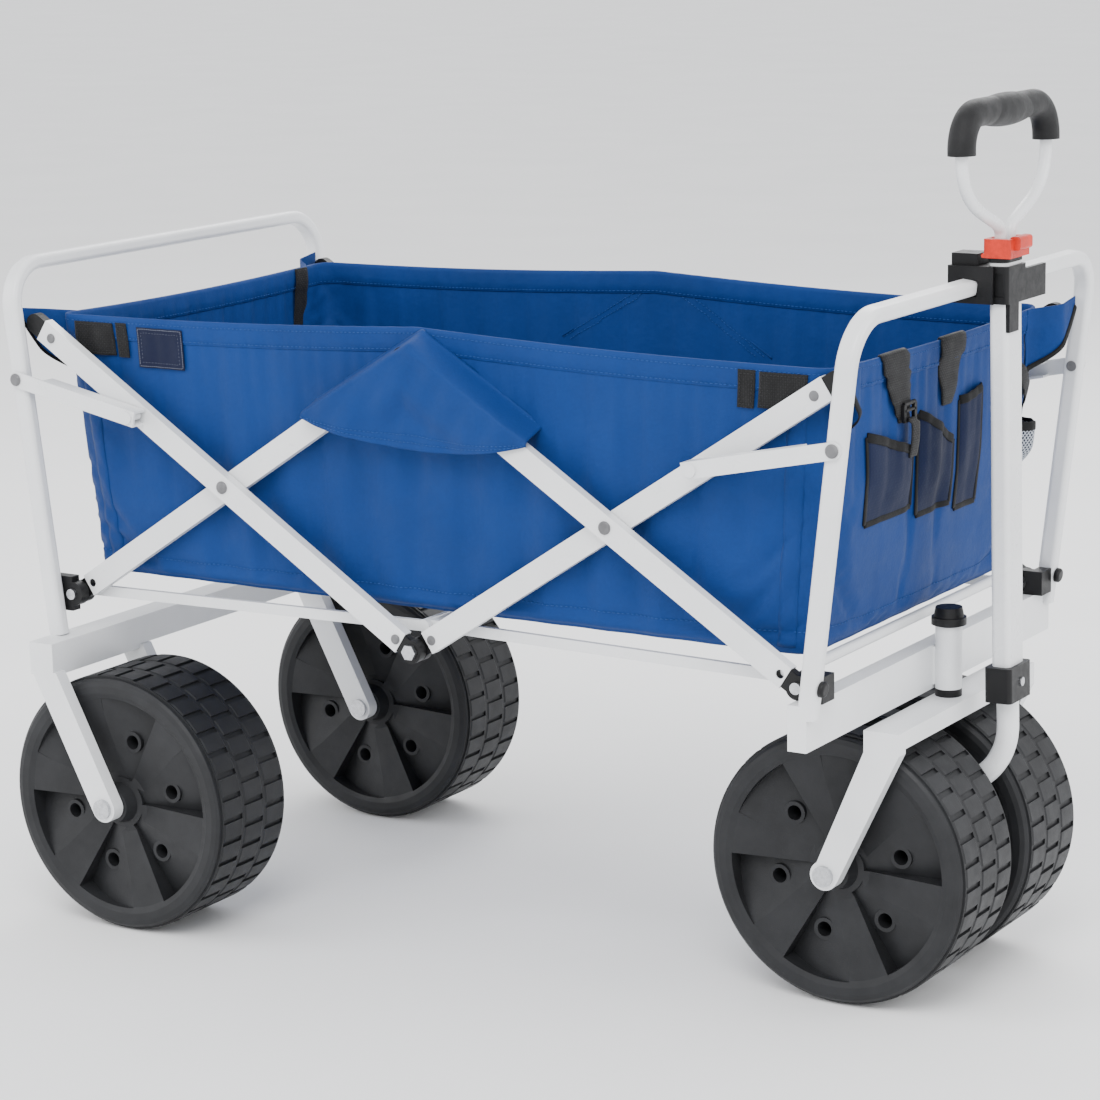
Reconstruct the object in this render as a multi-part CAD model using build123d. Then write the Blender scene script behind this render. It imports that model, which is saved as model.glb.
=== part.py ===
from build123d import *
from math import acos, asin, atan2, cos, degrees, hypot, pi, radians, sin, tan
import os

# Beach cart: a scissor-folding wagon on four wide wheels, with a steered and sprung-latch pull handle.
# Frame: +X forward (pull end), +Y to the cart's left, +Z up. Built about the middle of the scissors and
# moved by -SHIFT_X on export, so that the origin is on the floor under the middle of the open cart.

SHIFT_X = 18.4

# Wheels
WHEEL_R = 127.0
WHEEL_W = 110.0
TREAD_R = 124.4  # floor of the slots between the lugs
LUGS = 36
POCKET_R = 105.0
POCKET_DEG = 38.0
AXLE_R = 6.0
RUN = 0.06  # radial running clearance
REAR_AXLE_X = -332.0
FRONT_AXLE_X = 372.7
REAR_OUT_Y = 269.6
FRONT_OUT_Y = 126.4

# End hoops: flat-oval tube that leans outwards going up
HOOP_X = 410.8  # at HOOP_Z
HOOP_Z = 300.0
LEAN = 0.12
HOOP_TOP = 642.0
HOOP_Y = 249.0
TUBE_X = 18.0
TUBE_Y = 14.0
WALL = 1.5
BEND_R = 42.0
REAR_LEG_Z = 284.0
FRONT_LEG_Z = 300.0
BEAM_X0 = 395.0
BEAM_X1 = 412.8
BEAM_Z0 = 272.0
BEAM_Z1 = 312.5

# Scissors
ALPHA = 32.9
HALF_BAR = 248.4  # centre pivots to crossing
LOW_BAR = 223.3  # crossing to lower end pivot
HIGH_BAR = 236.9  # crossing to the upper end rivet
STRUT_AT = 114.0  # crossing to strut rivet
MID_Z = 310.2
STRUT_Z = 534.2
BAR_W = 22.0
BAR_T = 10.0
OUTER = 231.0  # inner face of the outer bars
INNER = 220.0  # inner face of the inner bars
PIN_R = 4.0
RAIL_T = 5.0
RAIL_H = 10.0
RAIL_Z = 330.0
REAR_RAIL_Y = 213.5
FRONT_RAIL_Y = 207.5

# Pull end
KING_X = 425.3
POLE_X = 477.5  # at HOOP_TOP
POLE_LEAN = -0.0166
POLE_W = 34.0
POLE_D = 18.0
POLE_R = 5.0
POLE_TOP = 664.0
ROD_R = 5.5
ROD_Y = 9.5
GRIP_Y = 89.0
GRIP_Z = 797.0
GRIP_R = 12.2
SWELL_R = 14.6

# Fabric tub
TUB_Z0 = 342.0
TUB_Z1 = 602.0
TUB_X0 = 391.0
TUB_X1 = 418.0
TUB_Y0 = 207.0
TUB_Y1 = 218.0
CLOTH = 3.0

CA = cos(radians(ALPHA))
SA = sin(radians(ALPHA))
CROSS = (HALF_BAR * CA, MID_Z + HALF_BAR * SA)
TOP = (0.0, MID_Z + 2 * HALF_BAR * SA)
MID = (0.0, MID_Z)
LOW = (CROSS[0] + LOW_BAR * CA, CROSS[1] - LOW_BAR * SA)
HIGH = (CROSS[0] + HIGH_BAR * CA, CROSS[1] + HIGH_BAR * SA)
STRUT = (CROSS[0] + STRUT_AT * CA, CROSS[1] + STRUT_AT * SA)


def hoop_x(z):
    """Distance of a hoop's centre line from the middle of the cart at height z."""
    return HOOP_X + LEAN * (z - HOOP_Z)


def pole_x(z):
    """Centre line of the pull handle's tube at height z."""
    return POLE_X + POLE_LEAN * (z - HOOP_TOP)


def side(p, sx):
    """A point of the front scissors, moved to the rear half when sx is -1."""
    return (sx * p[0], p[1])


def pin(p, y0, y1, r):
    """Round pin along Y at the point p of the XZ plane."""
    return Pos(p[0], (y0 + y1) / 2, p[1]) * Rot(90, 0, 0) * Cylinder(r, abs(y1 - y0))


def beam(p, q, width, y0, y1, before=0.0, after=0.0):
    """Straight flat bar from p to q in the XZ plane, between two Y values, longer by before and after."""
    dx = q[0] - p[0]
    dz = q[1] - p[1]
    length = hypot(dx, dz)
    mid = (after - before) / 2
    turn = -degrees(atan2(dz, dx))
    place = Pos((p[0] + q[0]) / 2, (y0 + y1) / 2, (p[1] + q[1]) / 2) * Rot(0, turn, 0)
    return place * Pos(mid, 0, 0) * Box(length + before + after, abs(y1 - y0), width)


def box(x0, x1, y0, y1, z0, z1):
    """Box between two corners."""
    return Pos((x0 + x1) / 2, (y0 + y1) / 2, (z0 + z1) / 2) * Box(x1 - x0, y1 - y0, z1 - z0)


def plate(points, y0, y1):
    """Flat plate with its outline in the XZ plane, between two Y values."""
    outline = make_face(Polyline(*[(x, 0, z) for x, z in points], close=True))
    lower = min(y0, y1)
    return extrude(Pos(0, lower, 0) * outline, amount=abs(y1 - y0), dir=(0, 1, 0))


def both(make):
    """The two sides of the cart: make(-1) near and make(1) far."""
    return [make(-1), make(1)]


def save(name, *solids):
    """Writes one node, moved into the row frame."""
    moved = [Pos(-SHIFT_X, 0, 0) * s for s in solids]
    shape = moved[0] if len(moved) == 1 else Compound(children=moved)
    shape.label = name
    export_step(shape, f"parts/{name}.step")


# ---------------------------------------------------------------- wheels


def wheel_core():
    """Turned wheel body about the Z axis, hollow inside, with dished faces and rounded shoulders."""
    half = WHEEL_W / 2
    side = [(AXLE_R + RUN, half + 4), (17, half + 4), (20, half - 9), (30, half - 12), (104, half - 3)]
    side += [(110, half - 0.5), (117, half), (121.5, half - 1.2), (124, half - 3.4), (TREAD_R, half - 6.5)]
    cavity = [(24, 14), (34, 17), (112, 26), (120.5, 36)]
    solid = turned([(r, -z) for r, z in side] + [(r, z) for r, z in reversed(side)])
    return solid - turned([(r, -z) for r, z in cavity] + [(r, z) for r, z in reversed(cavity)])


def turned(points):
    """Solid of revolution about Z from points of radius and height."""
    face = make_face(Polyline(*[(r, 0, z) for r, z in points], close=True))
    return revolve(face, Axis.Z, 360)


def pocket():
    """Cutter for one swept pocket of a wheel face: deep along one spoke and running out at the next."""
    half = WHEEL_W / 2
    far = POCKET_R
    turn = radians(POCKET_DEG)
    hub = Vector(0, 0, half - 13)
    steep = Vector(far, 0, half - 22)
    soft = Vector(far * cos(turn), far * sin(turn), half - 3.5)
    floor = Plane(origin=hub, x_dir=steep - hub, z_dir=(steep - hub).cross(soft - hub))
    above = floor * Pos(0, 0, 40) * Box(320, 320, 80)
    sector = make_face(Polyline((0, 0, 0), (160, 0, 0), (160 * cos(turn), 160 * sin(turn), 0), close=True))
    limit = extrude(sector, amount=half + 20, dir=(0, 0, 1))
    ring = Cylinder(far, 300) - Cylinder(25, 300)
    return above & limit & ring


def wheel():
    """One wheel about the Z axis with swept pockets, bossed holes and a lugged tread."""
    half = WHEEL_W / 2
    body = wheel_core()
    cuts = []
    bosses = []
    holes = []
    for face in (0, 180):
        for i in range(6):
            turn = Rot(face, 0, 0) * Rot(0, 0, i * 60)
            cuts.append(turn * pocket())
            spot = turn * Rot(0, 0, 16) * Pos(63, 0, half - 17)
            bosses.append(spot * Cylinder(10.5, 10))
            holes.append(spot * Cylinder(7, 60))
    body = body - cuts + bosses
    body = body - holes
    return body + lugs() + tread_bands()


def lugs():
    """Tread: staggered rows of wide lugs with narrow slots between them."""
    pitch = 360 / LUGS
    made = []
    for row, (low, high) in enumerate([(-47, -18.5), (-14.5, 14.5), (18.5, 47)]):
        section = [(120.9, low), (WHEEL_R - 0.7, low), (WHEEL_R, low + 1.5), (WHEEL_R, high - 1.5)]
        section += [(WHEEL_R - 0.7, high), (120.9, high)]
        face = make_face(Polyline(*[(r, 0, z) for r, z in section], close=True))
        lug = revolve(face, Axis.Z, pitch * 0.76)
        for i in range(LUGS):
            made.append(Rot(0, 0, (i + (row % 2) / 2) * pitch) * lug)
    return made


def tread_bands():
    """Continuous bands between the rows of lugs and along both shoulders."""
    made = []
    for low, high in [(-48.5, -47), (-18.5, -14.5), (14.5, 18.5), (47, 48.5)]:
        made.append(turned([(120.9, low), (WHEEL_R - 0.8, low), (WHEEL_R - 0.8, high), (120.9, high)]))
    return made


def placed_wheel(shape, x, y):
    """A wheel on its axle, with its faces square to Y."""
    return Pos(x, y, WHEEL_R) * Rot(90, 0, 0) * shape


# ---------------------------------------------------------------- hoops


def tube_profile(w, t, r):
    """Rounded rectangular tube section, w along X and t along Y."""
    return RectangleRounded(w, t, r)


def hoop(sx, leg_z):
    """Inverted U of flat-oval tube, with both legs leaning out of the cart."""
    tilt = -sx * LEAN
    run = [
        (-HOOP_Y, leg_z),
        (-HOOP_Y, HOOP_TOP),
        (HOOP_Y, HOOP_TOP),
        (HOOP_Y, leg_z),
    ]
    path = FilletPolyline(*[(sx * hoop_x(z), y, z) for y, z in run], radius=BEND_R)
    start = Plane(
        origin=(sx * hoop_x(leg_z), -HOOP_Y, leg_z),
        x_dir=(1, 0, tilt),
        z_dir=(sx * LEAN, 0, 1),
    )
    outer = sweep(start * tube_profile(TUBE_X, TUBE_Y, 5), path=path)
    inner = sweep(start * tube_profile(TUBE_X - 2 * WALL, TUBE_Y - 2 * WALL, 3.5), path=path)
    floor = box(-600, 600, -600, 600, leg_z - 60, leg_z)
    return outer - inner - floor


def leg_space(sx, sy, grow):
    """Straight solid round one leg of a hoop, larger by grow all round."""
    low = (sx * hoop_x(240), 240)
    high = (sx * hoop_x(560), 560)
    half = TUBE_Y / 2 + grow
    return beam(low, high, TUBE_X + 2 * grow, sy * HOOP_Y - half, sy * HOOP_Y + half)


def leg_holes(sx):
    """Holes through both legs for the strut pins."""
    centre = (sx * hoop_x(STRUT_Z), STRUT_Z)
    return [pin(centre, -HOOP_Y - 20, -HOOP_Y + 20, PIN_R), pin(centre, HOOP_Y - 20, HOOP_Y + 20, PIN_R)]


# ---------------------------------------------------------------- scissor bars


def bar(p, q, y0, y1, start, end, holes):
    """Hollow rectangular bar from p to q; start and end are added to its length, holes are cut across it."""
    outer = beam(p, q, BAR_W, y0, y1, start, end)
    thin = abs(y1 - y0) / 2 - 1.2
    middle = (y0 + y1) / 2
    inner = beam(p, q, BAR_W - 2.4, middle - thin, middle + thin, start + 1, end + 1)
    shape = outer - inner
    for hole in holes:
        shape = shape - pin(hole, y0 - 5, y1 + 5, PIN_R + RUN)
    return shape


def eye(p, q, y0, y1, reach):
    """Black end piece of a bar: an eye at p and a shank towards q that fills the bar's end."""
    middle = (y0 + y1) / 2
    half = abs(y1 - y0) / 2 - 0.2
    dx = q[0] - p[0]
    dz = q[1] - p[1]
    length = hypot(dx, dz)
    ux = dx / length
    uz = dz / length
    neck = (p[0] + ux * reach, p[1] + uz * reach)
    tip = (p[0] + ux * (reach + 16), p[1] + uz * (reach + 16))
    shape = pin(p, middle - half, middle + half, 11.0)
    shape = shape + beam(p, neck, 18.0, middle - half, middle + half)
    shape = shape + beam(p, tip, 18.6, middle - half + 1.4, middle + half - 1.4)
    return shape - pin(p, y0 - 5, y1 + 5, PIN_R + RUN)


def rest_cap(p, q, y0, y1):
    """Black end piece of a bar's free upper end, which rests against the hoop."""
    length = hypot(p[0] - q[0], p[1] - q[1])
    ux = (p[0] - q[0]) / length
    uz = (p[1] - q[1]) / length
    middle = (y0 + y1) / 2
    start = (p[0] + ux * 14.2, p[1] + uz * 14.2)
    knob = (p[0] + ux * 24, p[1] + uz * 24)
    inside = (p[0] - ux * 2, p[1] - uz * 2)
    cap = beam(start, knob, 19.2, middle - 4.8, middle + 4.8)
    cap = cap + pin(knob, middle - 4.8, middle + 4.8, 9.6)
    return cap + beam(inside, start, 18.6, middle - 3.4, middle + 3.4, 0, 2)


def rivet(p, inner, outer, sy, head, shank=PIN_R, proud=2.2, back=1.2):
    """Rivet from the inner face to the outer one, with a chamfered head outside and a flat one inside."""
    body = pin(p, sy * (inner - back), sy * outer, shank)
    out = pin(p, sy * outer, sy * (outer + proud), head)
    rim = out.edges().sort_by(Axis.Y)[0 if sy < 0 else -1]
    foot = pin(p, sy * (inner - back), sy * inner, head - 1)
    return body + chamfer(rim, proud * 0.55) + foot


def towards(p, q, distance):
    """The point a distance from p on the way to q."""
    length = hypot(q[0] - p[0], q[1] - p[1])
    return (p[0] + (q[0] - p[0]) * distance / length, p[1] + (q[1] - p[1]) * distance / length)


def long_bar(high, mid, sx, layer, sy):
    """Bar from a free upper end down to the centre pivot."""
    y0, y1 = sorted((sy * layer, sy * (layer + BAR_T)))
    cross = side(CROSS, sx)
    fixings = [cross, high, towards(mid, high, 19)]
    return bar(mid, high, y0, y1, -13, 14, fixings)


def short_bar(low, top, sx, layer, sy):
    """Bar from a lower bracket up to the top centre pivot."""
    y0, y1 = sorted((sy * layer, sy * (layer + BAR_T)))
    fixings = [side(CROSS, sx), towards(low, top, 19), towards(top, low, 19)]
    return bar(low, top, y0, y1, -13, -13, fixings)


def eyes(points, layer):
    """End pieces on both sides of the cart; points are pairs of an eye and the bar's other end."""
    made = []
    for sy in (-1, 1):
        y0, y1 = sorted((sy * layer, sy * (layer + BAR_T)))
        for p, q in points:
            hole = towards(p, q, 19)
            made.append(eye(p, q, y0, y1, 12.8) - pin(hole, y0 - 5, y1 + 5, PIN_R + RUN))
    return made


def caps(high, mid, layer):
    """Free end pieces on both sides of the cart."""
    made = []
    for sy in (-1, 1):
        y0, y1 = sorted((sy * layer, sy * (layer + BAR_T)))
        made.append(rest_cap(high, mid, y0, y1) - pin(high, y0 - 5, y1 + 5, PIN_R + RUN))
    return made


def end_rivets(points, layer, proud):
    """Rivets that hold end pieces in the bars of one layer, on both sides."""
    return [rivet(p, layer, layer + BAR_T, sy, 4.6, 3.0, proud, 0.7) for sy in (-1, 1) for p in points]


def pivots(points):
    """Rivets through an inner and an outer bar, on both sides."""
    return [rivet(p, INNER, OUTER + BAR_T, sy, 6.0) for sy in (-1, 1) for p in points]


def centre_bolt(p, sy):
    """Bolt through both bars at a centre pivot, with a hexagon head outside and a nut inside."""
    y1 = OUTER + BAR_T
    body = pin(p, sy * (INNER - 1.2), sy * y1, PIN_R)
    head = extrude(Rot(90, 0, 0) * RegularPolygon(7.5, 6), amount=-sy * 4.0)
    nut = pin(p, sy * (INNER - 1.2), sy * INNER, 6.5)
    return body + Pos(p[0], sy * y1, p[1]) * head + nut


# ---------------------------------------------------------------- struts and rails


def strut(sx, sy):
    """Pressed channel from a leg of the hoop to the long bar beside it."""
    p = (sx * hoop_x(STRUT_Z), STRUT_Z)
    q = side(STRUT, sx)
    start = towards(p, q, 31)
    y_in, y_web, y_out = (sy * 242.3, sy * 256.4, sy * 259.0)
    web = beam(p, q, 15, *sorted((y_web, y_out)), 0, 8)
    web = web + pin(p, y_web, y_out, 7.5)
    channel = beam(start, q, 15, *sorted((y_in, y_out)), 0, 8)
    hollow = beam(start, q, 11, *sorted((sy * 240.0, y_web)), 1, 9)
    shape = web + (channel - hollow)
    return shape - pin(p, sy * 250, sy * 262, PIN_R + RUN) - pin(q, sy * 250, sy * 262, PIN_R)


def strut_pin(sx, sy):
    """Rivet that holds a strut to the hoop's leg."""
    p = (sx * hoop_x(STRUT_Z), STRUT_Z)
    return rivet(p, HOOP_Y - TUBE_Y / 2, 259.2, sy, 6.0)


def strut_stud(sx, sy):
    """Rivet at a strut's lower end; its shank stops short of the long bar."""
    q = side(STRUT, sx)
    return pin(q, sy * 243.0, sy * 259.0, PIN_R) + pin(q, sy * 259.0, sy * 261.0, 6.0)


def rail(sx, layer, sy):
    """Half of a floor rail, from a lower bracket to the middle of the cart."""
    y0, y1 = sorted((sy * layer, sy * (layer + RAIL_T)))
    low = side(LOW, sx)
    shape = beam(low, (0, RAIL_Z), RAIL_H, y0, y1)
    shape = shape + pin(low, y0, y1, 7) + pin((0, RAIL_Z), y0, y1, 6)
    return shape - pin(low, y0 - 5, y1 + 5, PIN_R + RUN)


# ---------------------------------------------------------------- brackets


def rear_bracket(sy):
    """Moulded bracket on the inner face of a rear leg, outboard of the bar's eye."""
    low = side(LOW, -1)
    y_leg = HOOP_Y - TUBE_Y / 2
    pad = pin(low, sy * OUTER, sy * y_leg, 12)
    pad = pad + box(-420, low[0], *sorted((sy * OUTER, sy * y_leg)), low[1] - 17, low[1] + 17)
    return pad - pin(low, sy * 200, sy * 270, PIN_R)


def front_bracket(sy):
    """Moulded bracket inboard of the bar's eye, joined to the inner face of a front leg."""
    y_in, y_out, y_leg = (219.5, 230.4, HOOP_Y - TUBE_Y / 2)
    cheek = pin(LOW, sy * y_in, sy * y_out, 12)
    cheek = cheek + box(LOW[0], 421, *sorted((sy * y_in, sy * y_out)), BEAM_Z1, LOW[1] + 12)
    block = box(408.5, 421, *sorted((sy * y_in, sy * y_leg)), BEAM_Z1, LOW[1] + 12)
    shape = cheek + block - pin(LOW, sy * 200, sy * 270, PIN_R)
    return shape - box(BEAM_X0, BEAM_X1, -270, 270, BEAM_Z0, BEAM_Z1)


def leg_plug(sy):
    """Domed black plug on the front face of a front leg, just above the beam."""
    z = 328.0
    place = Pos(hoop_x(z) + TUBE_X / 2 + 0.1, sy * HOOP_Y, z) * Rot(0, 90 + degrees(atan2(LEAN, 1)), 0)
    dome = extrude(Circle(7.0), amount=5.0)
    return place * fillet(dome.edges().sort_by(Axis.Z)[-1], 2.5)


def pivot_bolt(sx, sy, end):
    """Long bolt through a lower bracket, the bar's eye, the rail and the cross tube's ear."""
    low = side(LOW, sx)
    shape = pin(low, sy * 200.5, sy * end, PIN_R)
    shape = shape + pin(low, sy * end, sy * (end + 3.0), 5.2)
    return shape + pin(low, sy * 197.5, sy * 200.5, 6.0)


def spacer(sx, sy, y0, y1):
    """Washer on a pivot bolt."""
    low = side(LOW, sx)
    return pin(low, sy * y0, sy * y1, 8) - pin(low, sy * (y0 - 1), sy * (y1 + 1), PIN_R)


def cross_tube(sx):
    """Thin tube across the cart under the end of the tub, with an ear on each pivot bolt."""
    centre = (sx * (LOW[0] - 3), 336.0)
    low = side(LOW, sx)
    shape = pin(centre, -205.5, 205.5, 5)
    for sy in (-1, 1):
        ear = beam(low, centre, 13, *sorted((sy * 201.0, sy * 205.5)))
        ear = ear + pin(low, sy * 201.0, sy * 205.5, 7.5)
        shape = shape + ear
    for sy in (-1, 1):
        shape = shape - pin(low, sy * 195, sy * 210, PIN_R)
    return shape


# ---------------------------------------------------------------- rear end


def fork_arm(top, axle, y0, y1, width):
    """Flat arm from the frame down to an axle, with a round end."""
    shape = beam(top, axle, width, y0, y1)
    shape = shape + pin(axle, y0, y1, width / 2)
    return shape - pin(axle, y0 - 5, y1 + 5, AXLE_R)


def rear_fork(sy):
    """Saddle plate under the rear beam with an arm on each side of the wheel."""
    axle = (REAR_AXLE_X, WHEEL_R)
    top = (-401.0, 262.0)
    saddle = box(-414, -386, *sorted((sy * 141.5, sy * 288)), 252, 256)
    shape = saddle
    for y in (148.2, 281.0):
        arm = fork_arm(top, axle, sy * y - 6.8, sy * y + 6.8, 27)
        shape = shape + (arm - box(-480, -300, -320, 320, 256, 320))
    return shape


def rear_beam():
    """Square cross tube that joins the hoop's legs and carries both wheel forks."""
    outer = box(-414, -386, -288, 288, 256, 284)
    inner = box(-412, -388, -286.5, 286.5, 258, 282)
    return outer - inner


def axle(x, y0, y1, head):
    """Wheel axle with a head and a nut."""
    shape = pin((x, WHEEL_R), y0, y1, AXLE_R)
    shape = shape + pin((x, WHEEL_R), y0 - head, y0, 9.5)
    return shape + pin((x, WHEEL_R), y1, y1 + head, 9.5)


# ---------------------------------------------------------------- front end


def front_beam():
    """Tall cross tube under the front legs."""
    y = HOOP_Y + TUBE_Y / 2
    outer = box(BEAM_X0, BEAM_X1, -y, y, BEAM_Z0, BEAM_Z1)
    return outer - box(BEAM_X0 + 2, BEAM_X1 - 2, -y + 2, y - 2, BEAM_Z0 + 2, BEAM_Z1 - 2)


def front_hoop():
    """Front hoop, with its legs coped over the beam."""
    return hoop(1, FRONT_LEG_Z) - leg_holes(1) - box(BEAM_X0, BEAM_X1, -270, 270, BEAM_Z0, BEAM_Z1)


def kingpin_post():
    """Upright sleeve on the front of the beam, with its weld web."""
    sleeve = Pos(KING_X, 0, 302) * Cylinder(12.3, 58)
    web = box(BEAM_X1, KING_X, -7, 7, 276, 311)
    shape = sleeve + web - Pos(KING_X, 0, 302) * Cylinder(AXLE_R + RUN, 80)
    return shape - box(BEAM_X0, BEAM_X1, -40, 40, BEAM_Z0, BEAM_Z1)


def front_fork():
    """Inverted U of rectangular tube that carries both front wheels."""
    bar_x = (412.0, 446.0)
    cross = box(*bar_x, -146, 146, 250, 266)
    shape = cross
    outline = [(412, 266), (446, 266), (446, 246), (385.5, 122), (359.5, 124), (412, 246)]
    for y in (139.0, -139.0):
        arm = plate(outline, y - 7, y + 7) + pin((FRONT_AXLE_X, WHEEL_R), y - 7, y + 7, 13.5)
        shape = shape + arm
    shape = shape - pin((FRONT_AXLE_X, WHEEL_R), -160, 160, AXLE_R)
    return shape - Pos(KING_X, 0, 258) * Cylinder(AXLE_R, 40)


def king_bolt():
    """Steering pin with its head below the fork."""
    shank = Pos(KING_X, 0, 291) * Cylinder(AXLE_R, 90)
    head = Pos(KING_X, 0, 247) * extrude(RegularPolygon(9, 6), amount=3)
    return shank + head


def king_cap():
    """Domed black cap over the top of the steering pin."""
    cap = Pos(KING_X, 0, 332.3) * extrude(Circle(16), amount=7)
    cap = cap + Pos(KING_X, 0, 339.3) * extrude(Circle(14), amount=9, taper=12)
    return cap - Pos(KING_X, 0, 330) * Cylinder(AXLE_R, 12.2)


def king_washer():
    """Black thrust washer between post and fork."""
    ring = Pos(KING_X, 0, 269.4) * Cylinder(12.3, 6.6)
    return ring - Pos(KING_X, 0, 269.4) * Cylinder(AXLE_R, 12)


def handle_stem():
    """Bent tube from the axle, between the front wheels, up to the collar."""
    foot = (FRONT_AXLE_X + 8, 0, WHEEL_R + 8 * 0.78)
    corner_z = 213.9
    corner = (pole_x(corner_z), 0, corner_z)
    end = (pole_x(283.6), 0, 283.6)
    path = FilletPolyline(foot, corner, end, radius=62)
    run = (corner[0] - foot[0], 0, corner[2] - foot[2])
    start = Plane(origin=foot, x_dir=(0, 1, 0), z_dir=run)
    outer = sweep(start * Circle(10), path=path)
    inner = sweep(start * Circle(8.4), path=path)
    sleeve = pin((FRONT_AXLE_X, WHEEL_R), -12, 12, 13)
    shape = (outer - inner) + sleeve
    return shape - pin((FRONT_AXLE_X, WHEEL_R), -30, 30, AXLE_R + RUN)


def pole_plane(z):
    """Plane square to the pull handle's tube at height z, with its X along the cart's Y."""
    return Plane(origin=(pole_x(z), 0, z), x_dir=(0, 1, 0), z_dir=(POLE_LEAN, 0, 1))


def pole_part(z0, z1, width, depth, radius):
    """Piece of rounded bar along the pull handle's axis."""
    return extrude(pole_plane(z0) * RectangleRounded(width, depth, radius), amount=z1 - z0)


def handle_tube():
    """Flat-oval outer tube of the pull handle."""
    outer = pole_part(284, POLE_TOP, POLE_W, POLE_D, POLE_R)
    inner = pole_part(284, POLE_TOP, POLE_W - 3, POLE_D - 3, POLE_R - 1.5)
    return outer - inner


def handle_collar():
    """Black block that joins the bent tube to the outer tube."""
    block = pole_part(270, 302, 46, 26, 4)
    block = block - pole_part(284, 310, POLE_W, POLE_D, POLE_R)
    return block - extrude(pole_plane(260) * Circle(10), amount=25)


def collar_pin():
    """Bright rivet through the collar."""
    x = pole_x(288)
    head = Pos(x + 14.0, 0, 287) * Rot(0, 90, 0) * Cylinder(4, 1.6)
    tail = Pos(x - 14.0, 0, 287) * Rot(0, 90, 0) * Cylinder(4, 1.6)
    return [head, tail]


def handle_cap():
    """Black guide on top of the outer tube, with a hole for each rod."""
    shape = pole_part(POLE_TOP, POLE_TOP + 3.6, 36, 20, 6)
    for y in (-ROD_Y, ROD_Y):
        shape = shape - rod_space(y, 600, 700, ROD_R + RUN)
    return shape


def rod_space(y, z0, z1, r):
    """Straight round bar beside the pull handle's axis."""
    return extrude(pole_plane(z0) * Pos(y, 0) * Circle(r), amount=z1 - z0)


def handle_tongue():
    """Black sleeve round the front of the pull handle, with a window, a side wing and a tongue."""
    shape = box(472, 488.6, -20, 20, 628, 661) + box(480, 488.6, -16, 4, 603, 629)
    shape = shape + box(484.6, 488.6, 18, 62, 628, 656)
    edges = shape.edges().filter_by(Axis.Z).sort_by(Axis.X)
    shape = fillet(edges[-2:], 3.0) + box(472, 480, -20, 20, 628, 661)
    window = box(475, 484, -24, -18, 634, 655)
    return shape - pole_part(590, 665, POLE_W, POLE_D, POLE_R) - window


def handle_clip():
    """Black catch clamped on the hoop's rail; its lip steadies the pull handle's tube upright."""
    rail_x = hoop_x(HOOP_TOP)
    block = box(433, 471, -24, 24, 628, 661) + box(433, 458, -16, 8, 650, 671)
    lip = box(468, 476, -24, -20.6, 628, 661)
    rail = Pos(rail_x, 0, HOOP_TOP) * Rot(0, degrees(atan2(LEAN, 1)), 0) * Box(TUBE_X, 60, TUBE_Y)
    channel = pole_part(600, 700, POLE_W + 0.8, POLE_D + 0.8, POLE_R + 0.4)
    return block + lip - rail - channel


def latch():
    """Red release lever: a ring round both rods, hinged at its back edge."""
    x = pole_x(677)
    outer = box(x - 11.5, x + 14, -21.5, 21.5, 668.3, 685)
    inner = box(x - 8.5, x + 9.5, -15.6, 15.6, 660, 700)
    shape = outer - inner
    edges = shape.edges().filter_by(Axis.Z).group_by(Axis.X)
    shape = fillet(edges[0] + edges[-1], 2.0)
    thumb = fillet(box(x + 10, x + 20, -13, 13, 675, 687).edges().filter_by(Axis.Y), 3.0) - inner
    knuckle = pin((x - 11.5, 670.3), -21.5, 21.5, 2.0)
    return shape + thumb + knuckle


def rod_pair():
    """Both sliding rods: straight in the tube, flared above it, and straight again inside the grip."""
    return both(rod)


def rod(sy):
    """One sliding rod."""
    up = (POLE_LEAN, 0, 1)
    foot = (pole_x(424), sy * ROD_Y, 424)
    bend = (pole_x(686), sy * ROD_Y, 686)
    shoulder = (pole_x(698), sy * 19, 698)
    neck = (pole_x(762), sy * GRIP_Y, 762)
    tip = (pole_x(771), sy * GRIP_Y, 771)
    flare = Spline(bend, shoulder, neck, tangents=[up, up])
    path = Wire([Line(foot, bend), flare, Line(neck, tip)])
    return sweep(Plane(origin=foot, x_dir=(0, 1, 0), z_dir=up) * Circle(ROD_R), path=path)


def rod_foot():
    """Guide block that joins the lower ends of the rods inside the tube."""
    return pole_part(412, 424, POLE_W - 3.8, POLE_D - 3.8, POLE_R - 1.9)


def grip():
    """Foam grip: an inverted U with a swell under the fingers."""
    low = 763.0
    points = [
        (pole_x(low), -GRIP_Y, low),
        (pole_x(GRIP_Z), -GRIP_Y, GRIP_Z),
        (pole_x(GRIP_Z), GRIP_Y, GRIP_Z),
        (pole_x(low), GRIP_Y, low),
    ]
    path = FilletPolyline(*points, radius=30)
    start = Plane(origin=points[0], x_dir=(0, 1, 0), z_dir=(POLE_LEAN, 0, 1))
    shape = sweep(start * Circle(GRIP_R), path=path)
    arc = ThreePointArc((GRIP_R - 1, -40, 0), (SWELL_R, 0, 0), (GRIP_R - 1, 40, 0))
    spindle = make_face(arc + Polyline((GRIP_R - 1, 40, 0), (0, 40, 0), (0, -40, 0), (GRIP_R - 1, -40, 0)))
    swell = Pos(pole_x(GRIP_Z), 0, GRIP_Z - 1) * revolve(spindle, Axis.Y, 360)
    shape = shape + swell
    for sy in (-1, 1):
        end = (pole_x(750), sy * GRIP_Y, 750)
        hole = Plane(origin=end, x_dir=(0, 1, 0), z_dir=(POLE_LEAN, 0, 1)) * Circle(ROD_R)
        shape = shape - extrude(hole, amount=21.1)
    return shape


# ---------------------------------------------------------------- fabric


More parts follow.
